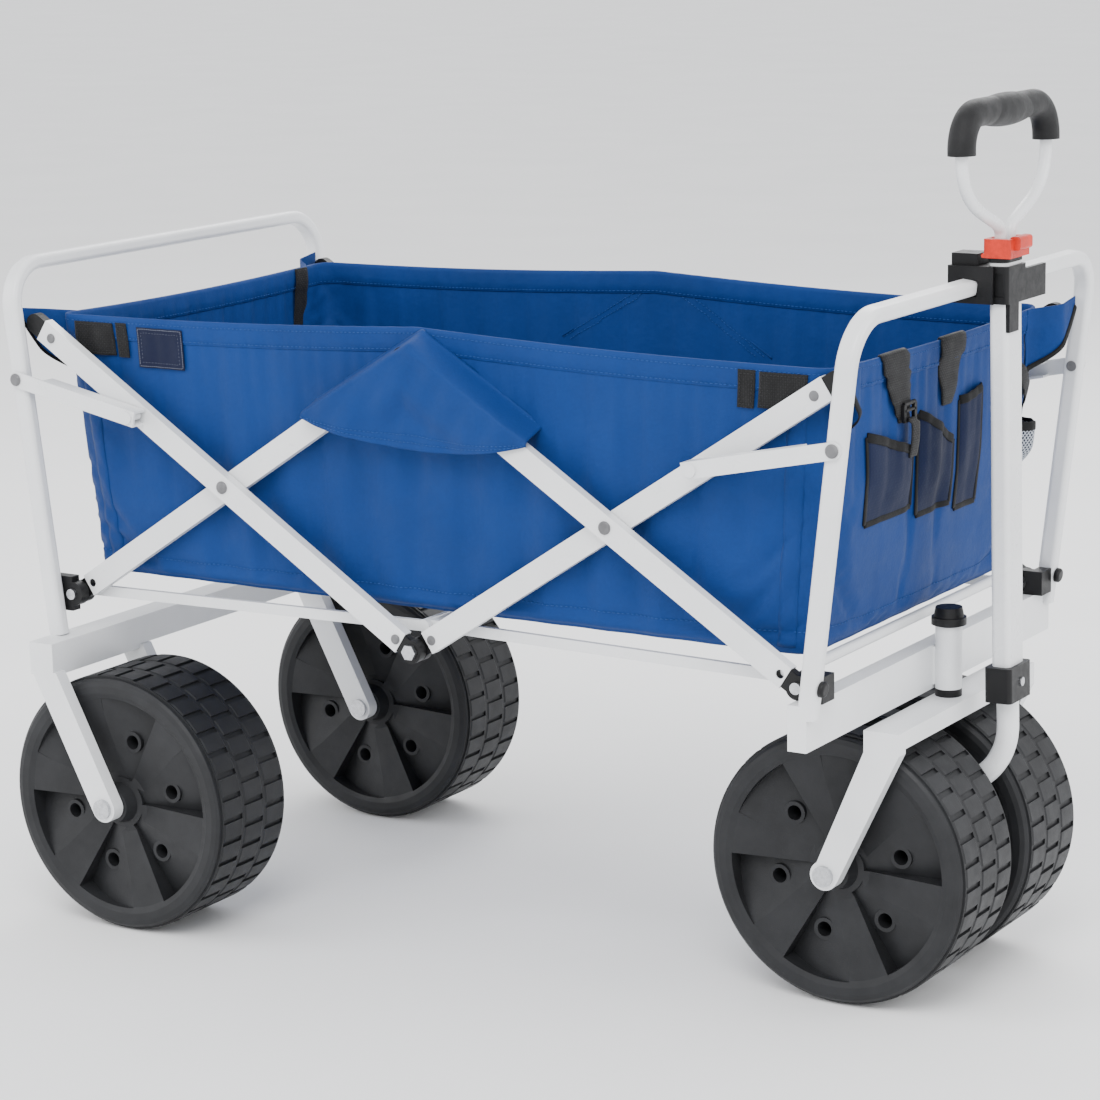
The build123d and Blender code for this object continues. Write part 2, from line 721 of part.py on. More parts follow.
def tub_level(z, inset):
    """Half length and half width of the tub at height z, drawn in by inset."""
    share = (z - TUB_Z0) / (TUB_Z1 - TUB_Z0)
    half_x = TUB_X0 + (TUB_X1 - TUB_X0) * share - inset
    half_y = TUB_Y0 + (TUB_Y1 - TUB_Y0) * share - inset
    return half_x, half_y


def tub_block(z0, z1, inset):
    """Closed block of the tub's shape between two heights."""
    faces = []
    for z in (z0, z1):
        half_x, half_y = tub_level(z, inset)
        faces.append(Pos(0, 0, z) * RectangleRounded(2 * half_x, 2 * half_y, 16 - inset))
    return loft(faces)


def tub():
    """Fabric tub: a tapered open box."""
    return tub_block(TUB_Z0, TUB_Z1, 0) - tub_block(TUB_Z0 + CLOTH, TUB_Z1 + 5, CLOTH)


def flap(sy):
    """Fabric pocket over a top centre pivot, open at its lower edge."""
    outline = [(0, 606), (120, 521), (124, 514), (60, 500), (0, 496), (-60, 500), (-124, 514), (-120, 521)]
    hollow = [(0, 603.4), (119, 518.9), (130, 509), (130, 480), (-130, 480), (-130, 509), (-119, 518.9)]
    shape = plate(outline, sy * 216.6, sy * 248.4) - plate(hollow, sy * 210.0, sy * 246.4)
    return shape - tub_block(TUB_Z0, TUB_Z1, 0)


def side_patch(x0, x1, z0, z1, sy, thick):
    """Thin patch on the outside of a side wall."""
    shape = box(x0, x1, *sorted((sy * 205, sy * 222)), z0, z1)
    wall = tub_block(TUB_Z0, TUB_Z1, 0)
    return (shape & tub_block(TUB_Z0, TUB_Z1, -thick)) - wall


def end_patch(y0, y1, z0, z1, thick):
    """Pocket on the outside of the front wall."""
    shape = box(380, 440, y0, y1, z0, z1)
    wall = tub_block(TUB_Z0, TUB_Z1, 0)
    return (shape & tub_block(TUB_Z0, TUB_Z1, -thick)) - wall


def rim_strap(y, drop):
    """Webbing loop over the front rim."""
    x = TUB_X1
    outer = box(x - 6, x + 3.2, y - 12.5, y + 12.5, TUB_Z1 - drop, TUB_Z1 + 2.2)
    slot = box(x - 4.2, x + 0.8, y - 20, y + 20, TUB_Z1 - drop - 10, TUB_Z1 + 0.2)
    inside = box(x - 10, x - 2, y - 20, y + 20, TUB_Z1 - drop - 5, TUB_Z1 - 22)
    return outer - slot - inside - tub_block(TUB_Z0, TUB_Z1, 0)


def mat(sx):
    """Half of the folding floor mat."""
    x0, x1 = sorted((sx * 2.5, sx * 376))
    shape = box(x0, x1, -196, 196, TUB_Z0 + CLOTH + 0.4, TUB_Z0 + CLOTH + 9)
    return fillet(shape.edges().filter_by(Axis.Z), 12)


# ---------------------------------------------------------------- build


def build_wheels():
    shape = wheel()
    half = WHEEL_W / 2
    save("rear_wheel_near", placed_wheel(shape, REAR_AXLE_X, -REAR_OUT_Y + half))
    save("rear_wheel_far", placed_wheel(shape, REAR_AXLE_X, REAR_OUT_Y - half))
    save("front_wheel_near", placed_wheel(shape, FRONT_AXLE_X, -FRONT_OUT_Y + half))
    save("front_wheel_far", placed_wheel(shape, FRONT_AXLE_X, FRONT_OUT_Y - half))


def build_rear():
    save("rear_hoop", hoop(-1, REAR_LEG_Z) - leg_holes(-1))
    save("rear_beam", rear_beam())
    save("rear_forks", *both(rear_fork))
    save("rear_brackets", *both(rear_bracket))
    washers = both(lambda sy: spacer(-1, sy, 207.5, 212.5))
    save("rear_pivot_bolts", *[pivot_bolt(-1, sy, 242.0) + w for sy, w in zip((-1, 1), washers)])
    save("rear_cross_tube", cross_tube(-1))
    save("rear_axles", axle(REAR_AXLE_X, -288, -141.4, 3.5), axle(REAR_AXLE_X, 141.4, 288, 3.5))
    save("rear_strut_pins", *both(lambda sy: strut_pin(-1, sy)))


def build_bars():
    low_r, low_f = side(LOW, -1), LOW
    high_r, high_f = side(HIGH, -1), HIGH
    save("bars_a", *both(lambda sy: long_bar(high_r, MID, -1, OUTER, sy)))
    save("bars_b", *both(lambda sy: short_bar(low_r, TOP, -1, INNER, sy)))
    save("bars_c", *both(lambda sy: long_bar(high_f, MID, 1, INNER, sy)))
    save("bars_d", *both(lambda sy: short_bar(low_f, TOP, 1, OUTER, sy)))
    save("bar_a_ends", *eyes([(MID, high_r)], OUTER), *caps(high_r, MID, OUTER))
    save("bar_b_ends", *eyes([(low_r, TOP), (TOP, low_r)], INNER))
    save("bar_c_ends", *eyes([(MID, high_f)], INNER), *caps(high_f, MID, INNER))
    save("bar_d_ends", *eyes([(low_f, TOP), (TOP, low_f)], OUTER))
    save("bar_a_rivets", *end_rivets([high_r, towards(MID, high_r, 19)], OUTER, 2.2))
    save("bar_b_rivets", *pivots([side(CROSS, -1)]))
    save("bar_c_rivets", *end_rivets([high_f, towards(MID, high_f, 19)], INNER, 0.7))
    save("bar_d_rivets", *pivots([CROSS]))
    save("centre_bolts", *both(lambda sy: centre_bolt(MID, sy)))
    save("top_bolts", *both(lambda sy: centre_bolt(TOP, sy)))


def build_struts_and_rails():
    for sx, name in ((-1, "rear"), (1, "front")):
        studs = both(lambda sy: strut_stud(sx, sy))
        save(f"{name}_struts", *both(lambda sy: strut(sx, sy)), *studs)
    save("rear_rails", *both(lambda sy: rail(-1, REAR_RAIL_Y, sy)))
    rails = both(lambda sy: rail(1, FRONT_RAIL_Y, sy))
    tube = pin((0, RAIL_Z), -FRONT_RAIL_Y, FRONT_RAIL_Y, 6)
    save("front_rails", rails[0] + tube + rails[1])
    save("floor_mat_rear", mat(-1))
    save("floor_mat_front", mat(1))


def build_front():
    save("front_hoop", front_hoop())
    save("front_beam", front_beam())
    save("kingpin_post", kingpin_post())
    save("front_brackets", *both(front_bracket), *both(leg_plug))
    washers = both(lambda sy: spacer(1, sy, 213.5, 219.5))
    save("front_pivot_bolts", *[pivot_bolt(1, sy, 241.2) + w for sy, w in zip((-1, 1), washers)])
    save("front_cross_tube", cross_tube(1))
    save("front_strut_pins", *both(lambda sy: strut_pin(1, sy)))
    save("handle_clip", handle_clip())
    save("front_fork", front_fork())
    save("front_axle", axle(FRONT_AXLE_X, -146, 146, 4))
    save("kingpin", king_bolt())
    save("kingpin_cap", king_cap())
    save("kingpin_washer", king_washer())


def build_handle():
    save("handle_stem", handle_stem())
    save("handle_collar", handle_collar())
    save("collar_rivet", *collar_pin())
    save("handle_tube", handle_tube())
    save("handle_cap", handle_cap())
    save("handle_tongue", handle_tongue())
    save("latch_lever", latch())
    save("handle_rods", *rod_pair(), rod_foot())
    save("handle_grip", grip())


def build_fabric():
    save("tub", tub())
    save("centre_flaps", *both(flap))
    patches = [side_patch(-392, -336, 558, 594, sy, 1.3) for sy in (-1, 1)]
    patches += [side_patch(336, 392, 558, 594, sy, 1.3) for sy in (-1, 1)]
    save("corner_patches", *patches)
    save("side_badge", side_patch(-318, -262, 550, 590, -1, 1.2))
    pockets = [end_patch(-164, -64, 436, 520, 7), end_patch(-60, 10, 436, 524, 7)]
    pockets += [end_patch(42, 82, 430, 552, 8), end_patch(158, 206, 440, 512, 12)]
    save("front_pockets", *pockets)
    save("rim_straps", rim_strap(-108, 52), rim_strap(20, 52))


os.makedirs("parts", exist_ok=True)
build_wheels()
build_rear()
build_bars()
build_struts_and_rails()
build_front()
build_handle()
build_fabric()
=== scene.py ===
import math
import bmesh
import bpy
import numpy as np
from mathutils import Matrix, Vector


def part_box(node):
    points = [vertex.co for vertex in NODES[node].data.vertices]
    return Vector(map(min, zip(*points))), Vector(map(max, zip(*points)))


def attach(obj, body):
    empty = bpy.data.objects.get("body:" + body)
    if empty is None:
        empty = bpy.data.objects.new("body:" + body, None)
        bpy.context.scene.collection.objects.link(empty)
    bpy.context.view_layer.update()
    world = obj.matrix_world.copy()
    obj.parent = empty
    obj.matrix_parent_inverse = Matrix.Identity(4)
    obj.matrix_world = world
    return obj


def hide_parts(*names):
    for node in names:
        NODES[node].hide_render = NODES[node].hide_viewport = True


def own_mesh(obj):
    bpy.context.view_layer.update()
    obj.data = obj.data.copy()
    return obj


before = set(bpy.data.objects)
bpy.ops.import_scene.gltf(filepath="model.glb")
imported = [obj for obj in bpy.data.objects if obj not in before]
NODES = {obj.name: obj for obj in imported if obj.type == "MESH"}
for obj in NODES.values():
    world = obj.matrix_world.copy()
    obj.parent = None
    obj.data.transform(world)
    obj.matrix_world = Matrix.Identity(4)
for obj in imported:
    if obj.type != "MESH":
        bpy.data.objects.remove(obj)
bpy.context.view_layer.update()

# Beach cart, looks. Lengths below are millimetres, measured from the middle of the scissors, unless
# a comment says metres. put() turns them into the part frame's metres. Materials work in metres.

SHIFT_X = 18.4  # the part frame's origin, from the middle of the scissors

TUB_Z0, TUB_Z1 = 342.0, 602.0
TUB_X0, TUB_X1 = 391.0, 418.0
TUB_Y0, TUB_Y1 = 207.0, 218.0
TUB_R = 16.0
CLOTH_T = 1.4  # cloth thickness
LINE_LIFT = 1.3  # stitches on the wall's inner face stand this far in from its middle
SKIN = 1.0  # the cloth's middle lies this far inside the CAD tub's outer face
RIM_CORNER_Z = 594.0
RIM_PEAK_Z = 605.0
WALL_LIMIT_Y = 218.3  # the inner rivet heads start here
SIM_FRAMES = 26


def put(x, y, z):
    """A point in millimetres from the middle of the scissors, in the part frame's metres."""
    return ((x - SHIFT_X) / 1000.0, y / 1000.0, z / 1000.0)


# ------------------------------------------------------------------ node helpers


class Mat:
    """A material being built: short names for the shader nodes it uses."""

    def __init__(self, name):
        self.mat = bpy.data.materials.new(name)
        self.mat.use_nodes = True
        self.tree = self.mat.node_tree
        self.bsdf = self.tree.nodes["Principled BSDF"]
        coord = self.tree.nodes.new("ShaderNodeTexCoord")
        self.coord = coord.outputs["Object"]

    def link(self, a, b):
        self.tree.links.new(a, b)

    def node(self, kind, **props):
        n = self.tree.nodes.new(kind)
        for key, value in props.items():
            setattr(n, key, value)
        return n

    def set(self, **values):
        names = {"rough": "Roughness", "metal": "Metallic", "coat": "Coat Weight",
                 "coat_rough": "Coat Roughness", "sheen": "Sheen Weight",
                 "sheen_rough": "Sheen Roughness", "spec": "Specular IOR Level"}
        for key, value in values.items():
            self.bsdf.inputs[names[key]].default_value = value

    def noise(self, scale, detail=3.0, rough=0.55):
        n = self.node("ShaderNodeTexNoise")
        n.inputs["Scale"].default_value = scale
        n.inputs["Detail"].default_value = detail
        n.inputs["Roughness"].default_value = rough
        self.link(self.coord, n.inputs["Vector"])
        return n.outputs["Fac"]

    def voronoi(self, scale):
        n = self.node("ShaderNodeTexVoronoi")
        n.inputs["Scale"].default_value = scale
        self.link(self.coord, n.inputs["Vector"])
        return n.outputs["Distance"]

    def math(self, op, a, b=None):
        n = self.node("ShaderNodeMath", operation=op)
        for i, value in enumerate((a, b)):
            if value is None:
                continue
            if isinstance(value, (int, float)):
                n.inputs[i].default_value = value
            else:
                self.link(value, n.inputs[i])
        return n.outputs[0]

    def ramp(self, fac, stops):
        n = self.node("ShaderNodeValToRGB")
        elements = n.color_ramp.elements
        while len(elements) < len(stops):
            elements.new(0.5)
        for element, (at, colour) in zip(elements, stops):
            element.position = at
            rgb = colour if isinstance(colour, tuple) else (colour, colour, colour)
            element.color = (*rgb, 1.0)
        self.link(fac, n.inputs["Fac"])
        return n.outputs["Color"]

    def mix(self, fac, a, b, blend="MIX"):
        n = self.node("ShaderNodeMix", data_type="RGBA", blend_type=blend)
        if isinstance(fac, (int, float)):
            n.inputs[0].default_value = fac
        else:
            self.link(fac, n.inputs[0])
        for i, value in ((6, a), (7, b)):
            if isinstance(value, tuple):
                n.inputs[i].default_value = (*value, 1.0)
            else:
                self.link(value, n.inputs[i])
        return n.outputs[2]

    def bump(self, height, strength, distance, under=None):
        n = self.node("ShaderNodeBump")
        n.inputs["Strength"].default_value = strength
        n.inputs["Distance"].default_value = distance
        self.link(height, n.inputs["Height"])
        if under is not None:
            self.link(under, n.inputs["Normal"])
        return n.outputs["Normal"]

    def finish(self, colour=None, rough=None, normal=None):
        if colour is not None:
            self.link(colour, self.bsdf.inputs["Base Color"])
        if rough is not None:
            self.link(rough, self.bsdf.inputs["Roughness"])
        if normal is not None:
            self.link(normal, self.bsdf.inputs["Normal"])
        return self.mat


def shade(rgb, k):
    """A colour made darker or lighter by a factor."""
    return tuple(min(1.0, c * k) for c in rgb)


# ------------------------------------------------------------------ materials


def powder_coat(name, rgb, rough=0.34):
    """Satin powder coat: fine orange peel, faint cloudiness and a few scuffs."""
    m = Mat(name)
    m.set(coat=0.25, coat_rough=0.25)
    cloud = m.noise(14, 4)
    base = m.ramp(cloud, [(0.3, shade(rgb, 0.95)), (0.7, shade(rgb, 1.03))])
    scuff = m.ramp(m.noise(95, 6, 0.75), [(0.66, 0.0), (0.74, 1.0)])
    colour = m.mix(scuff, base, shade(rgb, 0.82))
    tone = m.ramp(m.noise(40, 5, 0.6), [(0.25, rough - 0.06), (0.8, rough + 0.12)])
    peel = m.bump(m.noise(900, 2), 0.10, 0.0004)
    return m.finish(colour, tone, peel)


def moulded(name, rgb, rough, grain=1500):
    """Moulded plastic with a spark-eroded grain and slightly paler rub marks."""
    m = Mat(name)
    m.set(spec=0.28)
    rub = m.ramp(m.noise(60, 6, 0.7), [(0.35, shade(rgb, 0.85)), (0.75, shade(rgb, 1.5))])
    tone = m.ramp(m.noise(120, 5, 0.65), [(0.3, rough - 0.08), (0.75, rough + 0.14)])
    skin = m.bump(m.voronoi(grain), 0.35, 0.0002)
    return m.finish(rub, tone, skin)


def wheel_plastic():
    """Dark grey blow-moulded wheel: soft satin, cloudy, with pale dust in the grain."""
    m = Mat("wheel_plastic")
    m.set(spec=0.25)
    rgb = (0.015, 0.0155, 0.017)
    cloud = m.ramp(m.noise(22, 5, 0.6), [(0.3, shade(rgb, 0.78)), (0.72, shade(rgb, 1.35))])
    dust = m.ramp(m.noise(160, 6, 0.8), [(0.6, 0.0), (0.85, 0.5)])
    colour = m.mix(dust, cloud, (0.036, 0.035, 0.034))
    tone = m.ramp(m.noise(70, 5, 0.65), [(0.25, 0.40), (0.8, 0.62)])
    waves = m.bump(m.noise(45, 3), 0.25, 0.0012)
    grain = m.bump(m.voronoi(1100), 0.30, 0.00025, waves)
    return m.finish(colour, tone, grain)


def metal(name, rgb, rough):
    """Zinc-plated steel with fine draw lines and small tarnish spots."""
    m = Mat(name)
    m.set(metal=1.0)
    spots = m.ramp(m.noise(260, 6, 0.7), [(0.35, shade(rgb, 0.7)), (0.7, rgb)])
    tone = m.ramp(m.noise(500, 4, 0.6), [(0.3, rough - 0.1), (0.8, rough + 0.15)])
    lines = m.bump(m.noise(1400, 2), 0.15, 0.0001)
    return m.finish(spots, tone, lines)


def weave_height(m, pitch):
    """Plain weave: over and under threads along the wall and up it, as a height from 0 to 1."""
    split = m.node("ShaderNodeSeparateXYZ")
    m.link(m.coord, split.inputs[0])
    along = m.math("ADD", split.outputs[0], split.outputs[1])
    turn = math.pi / pitch
    warp = m.math("SINE", m.math("MULTIPLY", along, turn))
    weft = m.math("SINE", m.math("MULTIPLY", split.outputs[2], turn))
    cross = m.math("MULTIPLY", warp, weft)
    thread = m.math("MULTIPLY", m.math("ABSOLUTE", warp), m.math("ABSOLUTE", weft))
    return m.math("ADD", m.math("MULTIPLY", cross, 0.35), thread)


def woven(name, rgb, pitch=0.0011, rough=0.62, crush=1.0):
    """Coated plain-weave cloth: threads, slubs, broad fading and soft crush marks; painted shade darkens the
    gaps between threads and a faint painted highlight lightens their crowns.
    """
    m = Mat(name)
    m.set(sheen=0.03, sheen_rough=0.45, spec=0.18)
    height = weave_height(m, pitch)
    fade = m.ramp(m.noise(6.5, 4, 0.6), [(0.28, shade(rgb, 0.86)), (0.74, shade(rgb, 1.10))])
    slub = m.ramp(m.noise(420, 2), [(0.3, 0.88), (0.75, 1.08)])
    tinted = m.mix(0.6, fade, slub, "MULTIPLY")
    # painted shade and highlight: the weave's gaps are coloured darker and its crowns a little lighter,
    # following its height
    threads = m.ramp(height, [(0.0, 0.80), (0.7, 1.05)])
    colour = m.mix(0.45, tinted, threads, "MULTIPLY")
    tone = m.ramp(m.noise(30, 4), [(0.3, rough - 0.07), (0.75, rough + 0.10)])
    creases = m.bump(m.noise(34, 5, 0.62), 0.30 * crush, 0.004)
    fine = m.bump(m.noise(150, 3), 0.16 * crush, 0.0014, creases)
    return m.finish(colour, tone, m.bump(height, 0.35, 0.00025, fine))


def webbing(name, rgb, pitch=0.0022):
    """Ribbed strap webbing with a herringbone of threads, paler on their crowns and darker in the gaps:
    painted highlight and painted shade that follow the weave's height.
    """
    m = Mat(name)
    m.set(sheen=0.06, sheen_rough=0.5, spec=0.25)
    height = weave_height(m, pitch)
    # painted shade and highlight: darker in the weave's gaps, paler on its crowns, following its height
    colour = m.ramp(height, [(0.0, shade(rgb, 0.6)), (0.8, shade(rgb, 1.9))])
    tone = m.ramp(m.noise(80, 3), [(0.3, 0.62), (0.8, 0.82)])
    return m.finish(colour, tone, m.bump(height, 0.7, 0.0005))


def foam():
    """Closed-cell foam grip: dull black with a fine pebble of cells."""
    m = Mat("grip_foam")
    m.set(spec=0.25, sheen=0.05)
    rgb = (0.004, 0.004, 0.0045)
    colour = m.ramp(m.noise(70, 5, 0.7), [(0.3, shade(rgb, 0.8)), (0.75, shade(rgb, 2.0))])
    tone = m.ramp(m.noise(110, 4), [(0.3, 0.42), (0.8, 0.66)])
    cells = m.bump(m.voronoi(1250), 0.5, 0.0004)
    return m.finish(colour, tone, cells)


def floor_material():
    """Pale studio sweep with a barely visible grain."""
    m = Mat("studio_floor")
    colour = m.ramp(m.noise(3, 3), [(0.3, (0.90, 0.90, 0.90)), (0.7, (0.93, 0.93, 0.93))])
    m.set(rough=0.75)
    return m.finish(colour, None, m.bump(m.noise(90, 2), 0.03, 0.001))


WHITE = (0.77, 0.78, 0.79)
BLUE = (0.0015, 0.032, 0.160)
BLACK = (0.0035, 0.0035, 0.004)

frame_paint = powder_coat("frame_powder_coat", WHITE)
bar_paint = powder_coat("bar_powder_coat", shade(WHITE, 0.98), 0.30)
handle_paint = powder_coat("handle_powder_coat", WHITE, 0.26)
black_plastic = moulded("black_plastic", BLACK, 0.42)
black_steel = moulded("black_rivet_steel", (0.13, 0.13, 0.135), 0.35, 900)
bright_steel = metal("zinc_steel", (0.62, 0.63, 0.65), 0.32)
red_plastic = moulded("red_plastic", (0.50, 0.024, 0.010), 0.34)
wheel_mat = wheel_plastic()
grip_mat = foam()
blue_cloth = woven("blue_cloth", BLUE)
blue_lining = woven("blue_lining", shade(BLUE, 0.92), crush=0.8)
navy_cloth = woven("navy_patch_cloth", (0.004, 0.007, 0.028), 0.0009)
mesh_cloth = woven("navy_mesh_cloth", (0.003, 0.008, 0.034), 0.0026, 0.7)
black_web = webbing("black_webbing", BLACK)
black_trim = woven("black_binding", BLACK, 0.0012, 0.7)
net_cord = webbing("pale_net_cord", (0.42, 0.45, 0.50), 0.0012)
blue_thread = webbing("blue_thread", (0.008, 0.055, 0.220), 0.0006)
pale_thread = webbing("grey_thread", (0.12, 0.13, 0.17), 0.0006)
dark_thread = webbing("black_thread", (0.020, 0.020, 0.022), 0.0006)


# ------------------------------------------------------------------ mesh helpers


def link_mesh(name, mesh, material):
    """Puts a mesh in the scene as an object with one material."""
    mesh.materials.append(material)
    obj = bpy.data.objects.new(name, mesh)
    bpy.context.scene.collection.objects.link(obj)
    return obj


def new_object(name, points, faces, material):
    """A smooth-shaded object from points in metres, with its faces turned outwards."""
    mesh = bpy.data.meshes.new(name)
    mesh.from_pydata([tuple(p) for p in points], [], faces)
    mesh.validate()
    bm = bmesh.new()
    bm.from_mesh(mesh)
    bmesh.ops.recalc_face_normals(bm, faces=bm.faces)
    bm.to_mesh(mesh)
    bm.free()
    for polygon in mesh.polygons:
        polygon.use_smooth = True
    return link_mesh(name, mesh, material)


def unit(rows):
    """Rows of vectors scaled to length one."""
    return rows / np.maximum(np.linalg.norm(rows, axis=-1, keepdims=True), 1e-9)


def grid_normals(grid, wrap):
    """Unit normals of a grid of points with shape (nu, nv, 3)."""
    if wrap:
        du = np.roll(grid, -1, 0) - np.roll(grid, 1, 0)
    else:
        du = np.gradient(grid, axis=0)
    dv = np.gradient(grid, axis=1)
    return unit(np.cross(du, dv))


def slab(grid, thickness, wrap=False):
    """Points and faces of a closed sheet of cloth about a grid of middle points, in millimetres."""
    nu, nv = grid.shape[:2]
    half = grid_normals(grid, wrap) * thickness / 2
    points = np.concatenate([(grid + half).reshape(-1, 3), (grid - half).reshape(-1, 3)])
    back = nu * nv
    faces = []
    columns = nu if wrap else nu - 1
    for i in range(columns):
        j = (i + 1) % nu
        for k in range(nv - 1):
            a, b, c, d = i * nv + k, j * nv + k, j * nv + k + 1, i * nv + k + 1
            faces.append((a, b, c, d))
            faces.append((back + d, back + c, back + b, back + a))
        for k in (0, nv - 1):
            a, b = i * nv + k, j * nv + k
            faces.append((a, back + a, back + b, b))
    if not wrap:
        for i in (0, nu - 1):
            for k in range(nv - 1):
                a, b = i * nv + k, i * nv + k + 1
                faces.append((a, b, back + b, back + a))
    return points, faces


def to_metres(points):
    """Many points at once, from the millimetres of put() to the part frame's metres."""
    points = np.array(points, float)
    points[:, 0] -= SHIFT_X
    return points / 1000.0


def cloth_piece(name, grid, thickness, material, wrap=False):
    points, faces = slab(grid, thickness, wrap)
    return new_object(name, to_metres(points), faces, material)


def swept(name, rings, material):
    """A closed solid through rings of points, all with the same number of points, capped at both ends."""
    count, m = len(rings), len(rings[0])
    faces = []
    for i in range(count - 1):
        for k in range(m):
            r = (k + 1) % m
            faces.append((i * m + k, (i + 1) * m + k, (i + 1) * m + r, i * m + r))
    faces.append(tuple(range(m)))
    faces.append(tuple(reversed([(count - 1) * m + k for k in range(m)])))
    return new_object(name, to_metres(np.reshape(rings, (-1, 3))), faces, material)


def corner_word(sx, sy):
    return f"{'front' if sx > 0 else 'rear'}_{'far' if sy > 0 else 'near'}"


def smooth_step(x):
    x = np.clip(x, 0.0, 1.0)
    return x * x * (3 - 2 * x)


def ride_tub(obj):
    """A soft piece of the tub: rises with it, on a mesh of its own."""
    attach(obj, "tub_body")
    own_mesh(obj)


# ------------------------------------------------------------------ tub wall


def perimeter(half_x, half_y, radius, count):
    """Points round a rounded rectangle, evenly spaced, from the near rear corner on."""
    runs = [2 * (half_x - radius), math.pi * radius / 2, 2 * (half_y - radius), math.pi * radius / 2] * 2
    total = sum(runs)
    points = []
    for step in range(count):
        at = total * step / count
        side = 0
        while at > runs[side]:
            at -= runs[side]
            side += 1
        quarter, bend = divmod(side, 2)
        turn = quarter * math.pi / 2
        flat = half_x - radius if quarter % 2 == 0 else half_y - radius
        deep = half_y if quarter % 2 == 0 else half_x
        if bend == 0:
            local = (-flat + at, -deep)
        else:
            a = -math.pi / 2 + at / radius
            local = (flat + radius * math.cos(a), -deep + radius + radius * math.sin(a))
        points.append((local[0] * math.cos(turn) - local[1] * math.sin(turn),
                       local[0] * math.sin(turn) + local[1] * math.cos(turn)))
    return np.array(points)


def wall_share(z):
    """How far up the tub's slanting wall a height lies: 0 at the foot, 1 at the rim."""
    return (z - TUB_Z0) / (TUB_Z1 - TUB_Z0)


def rim_height(x, y):
    """Height of the rim: a straight rise from each corner to the peak over the centre pivot."""
    along = np.abs(x) / TUB_X1
    side = RIM_PEAK_Z + (RIM_CORNER_Z - RIM_PEAK_Z) * along - 3.2 * np.sin(np.pi * along)
    end = RIM_CORNER_Z - 4.0 * (1 - (y / TUB_Y1) ** 2)
    on_end = np.abs(x) > TUB_X1 - 3
    return np.where(on_end, end, side)


NU, NV = 300, 30  # columns round the tub, rows up its wall
LEDGE = [(12.0, 344.2), (6.0, 343.4), (2.2, 343.8), (1.0, 346.0)]  # inset, height


def wall_grid():
    """Rest shape of the tub's cloth: a turned-in ledge, then the wall up to the rim."""
    low = perimeter(TUB_X0 - SKIN, TUB_Y0 - SKIN, TUB_R, NU)
    high = perimeter(TUB_X1 - SKIN, TUB_Y1 - SKIN, TUB_R, NU)
    top = rim_height(high[:, 0], high[:, 1])
    grid = np.zeros((NU, NV + len(LEDGE), 3))
    for row, (inset, z) in enumerate(LEDGE):
        ring = perimeter(TUB_X0 - inset, TUB_Y0 - inset, TUB_R, NU)
        grid[:, row, 0:2] = ring
        grid[:, row, 2] = z
    for row in range(NV):
        share = (row + 1) / NV
        z = LEDGE[-1][1] + (top - LEDGE[-1][1]) * share
        grid[:, row + len(LEDGE), 0:2] = low + (high - low) * wall_share(z)[:, None]
        grid[:, row + len(LEDGE), 2] = z
    return grid


def pin_wall(obj, grid):
    """Holds the ledge and the rim still, and the corners half still. Returns the vertex group's name."""
    nu, nv = grid.shape[:2]
    pins = obj.vertex_groups.new(name="pins")
    for i in range(nu):
        x, y = grid[i, -1, 0], grid[i, -1, 1]
        corner = abs(x) > TUB_X1 - 20 and abs(y) > TUB_Y1 - 20
        for k in range(nv):
            fixed = k < len(LEDGE) or k >= nv - 2
            weight = 1.0 if fixed else (0.5 if corner else 0.0)
            if weight:
                pins.add([i * nv + k], weight, "REPLACE")
    return pins.name


def drape(grid):
    """Lets the wall hang with a little spare cloth between its hems, by cloth simulation."""
    nu, nv = grid.shape[:2]
    wave = 0.9 * np.sin(np.arange(nu) * 0.9)[:, None] * np.sin(np.linspace(0, math.pi, nv))[None, :]
    start = grid + grid_normals(grid, True) * wave[:, :, None]
    faces = [(i * nv + k, ((i + 1) % nu) * nv + k, ((i + 1) % nu) * nv + k + 1, i * nv + k + 1)
             for i in range(nu) for k in range(nv - 1)]
    obj = new_object("drape", to_metres(start.reshape(-1, 3)), faces, blue_cloth)
    group = pin_wall(obj, grid)
    cloth = obj.modifiers.new("cloth", "CLOTH")
    settings = cloth.settings
    settings.vertex_group_mass = group
    settings.mass = 0.12
    settings.tension_stiffness = 18
    settings.compression_stiffness = 18
    settings.shear_stiffness = 4
    settings.bending_stiffness = 0.35
    settings.quality = 6
    settings.shrink_min = -0.016
    cloth.collision_settings.use_collision = False
    cloth.point_cache.frame_end = SIM_FRAMES
    scene = bpy.context.scene
    for step in range(1, SIM_FRAMES + 1):
        scene.frame_set(step)
        bpy.context.view_layer.update()
    done = obj.evaluated_get(bpy.context.evaluated_depsgraph_get()).to_mesh()
    points = np.array([v.co[:] for v in done.vertices]) * 1000.0
    points[:, 0] += SHIFT_X
    scene.frame_set(1)
    bpy.data.objects.remove(obj)
    return points.reshape(grid.shape)


def hold_in(grid, rest, furthest=9.0):
    """Keeps the cloth off the scissors and close to its rest shape."""
    move = grid - rest
    size = np.linalg.norm(move, axis=2, keepdims=True)
    move *= np.minimum(1.0, furthest / np.maximum(size, 1e-6))
    out = rest + move
    out[:, :, 1] = np.clip(out[:, :, 1], -WALL_LIMIT_Y + CLOTH_T, WALL_LIMIT_Y - CLOTH_T)
    return out


def refine(a, around):
    """Adds a point halfway between each pair of neighbours along the first axis, by Catmull-Rom."""
    if around:
        p0, p1, p2, p3 = np.roll(a, 1, 0), a, np.roll(a, -1, 0), np.roll(a, -2, 0)
    else:
        p1, p2 = a[:-1], a[1:]
        p0 = np.concatenate([2 * a[:1] - a[1:2], a[:-2]])
        p3 = np.concatenate([a[2:], 2 * a[-1:] - a[-2:-1]])
    middle = (9 * (p1 + p2) - p0 - p3) / 16
    rows = []
    for i in range(len(middle)):
        rows += [p1[i], middle[i]]
    if not around:
        rows.append(a[-1])
    return np.array(rows)


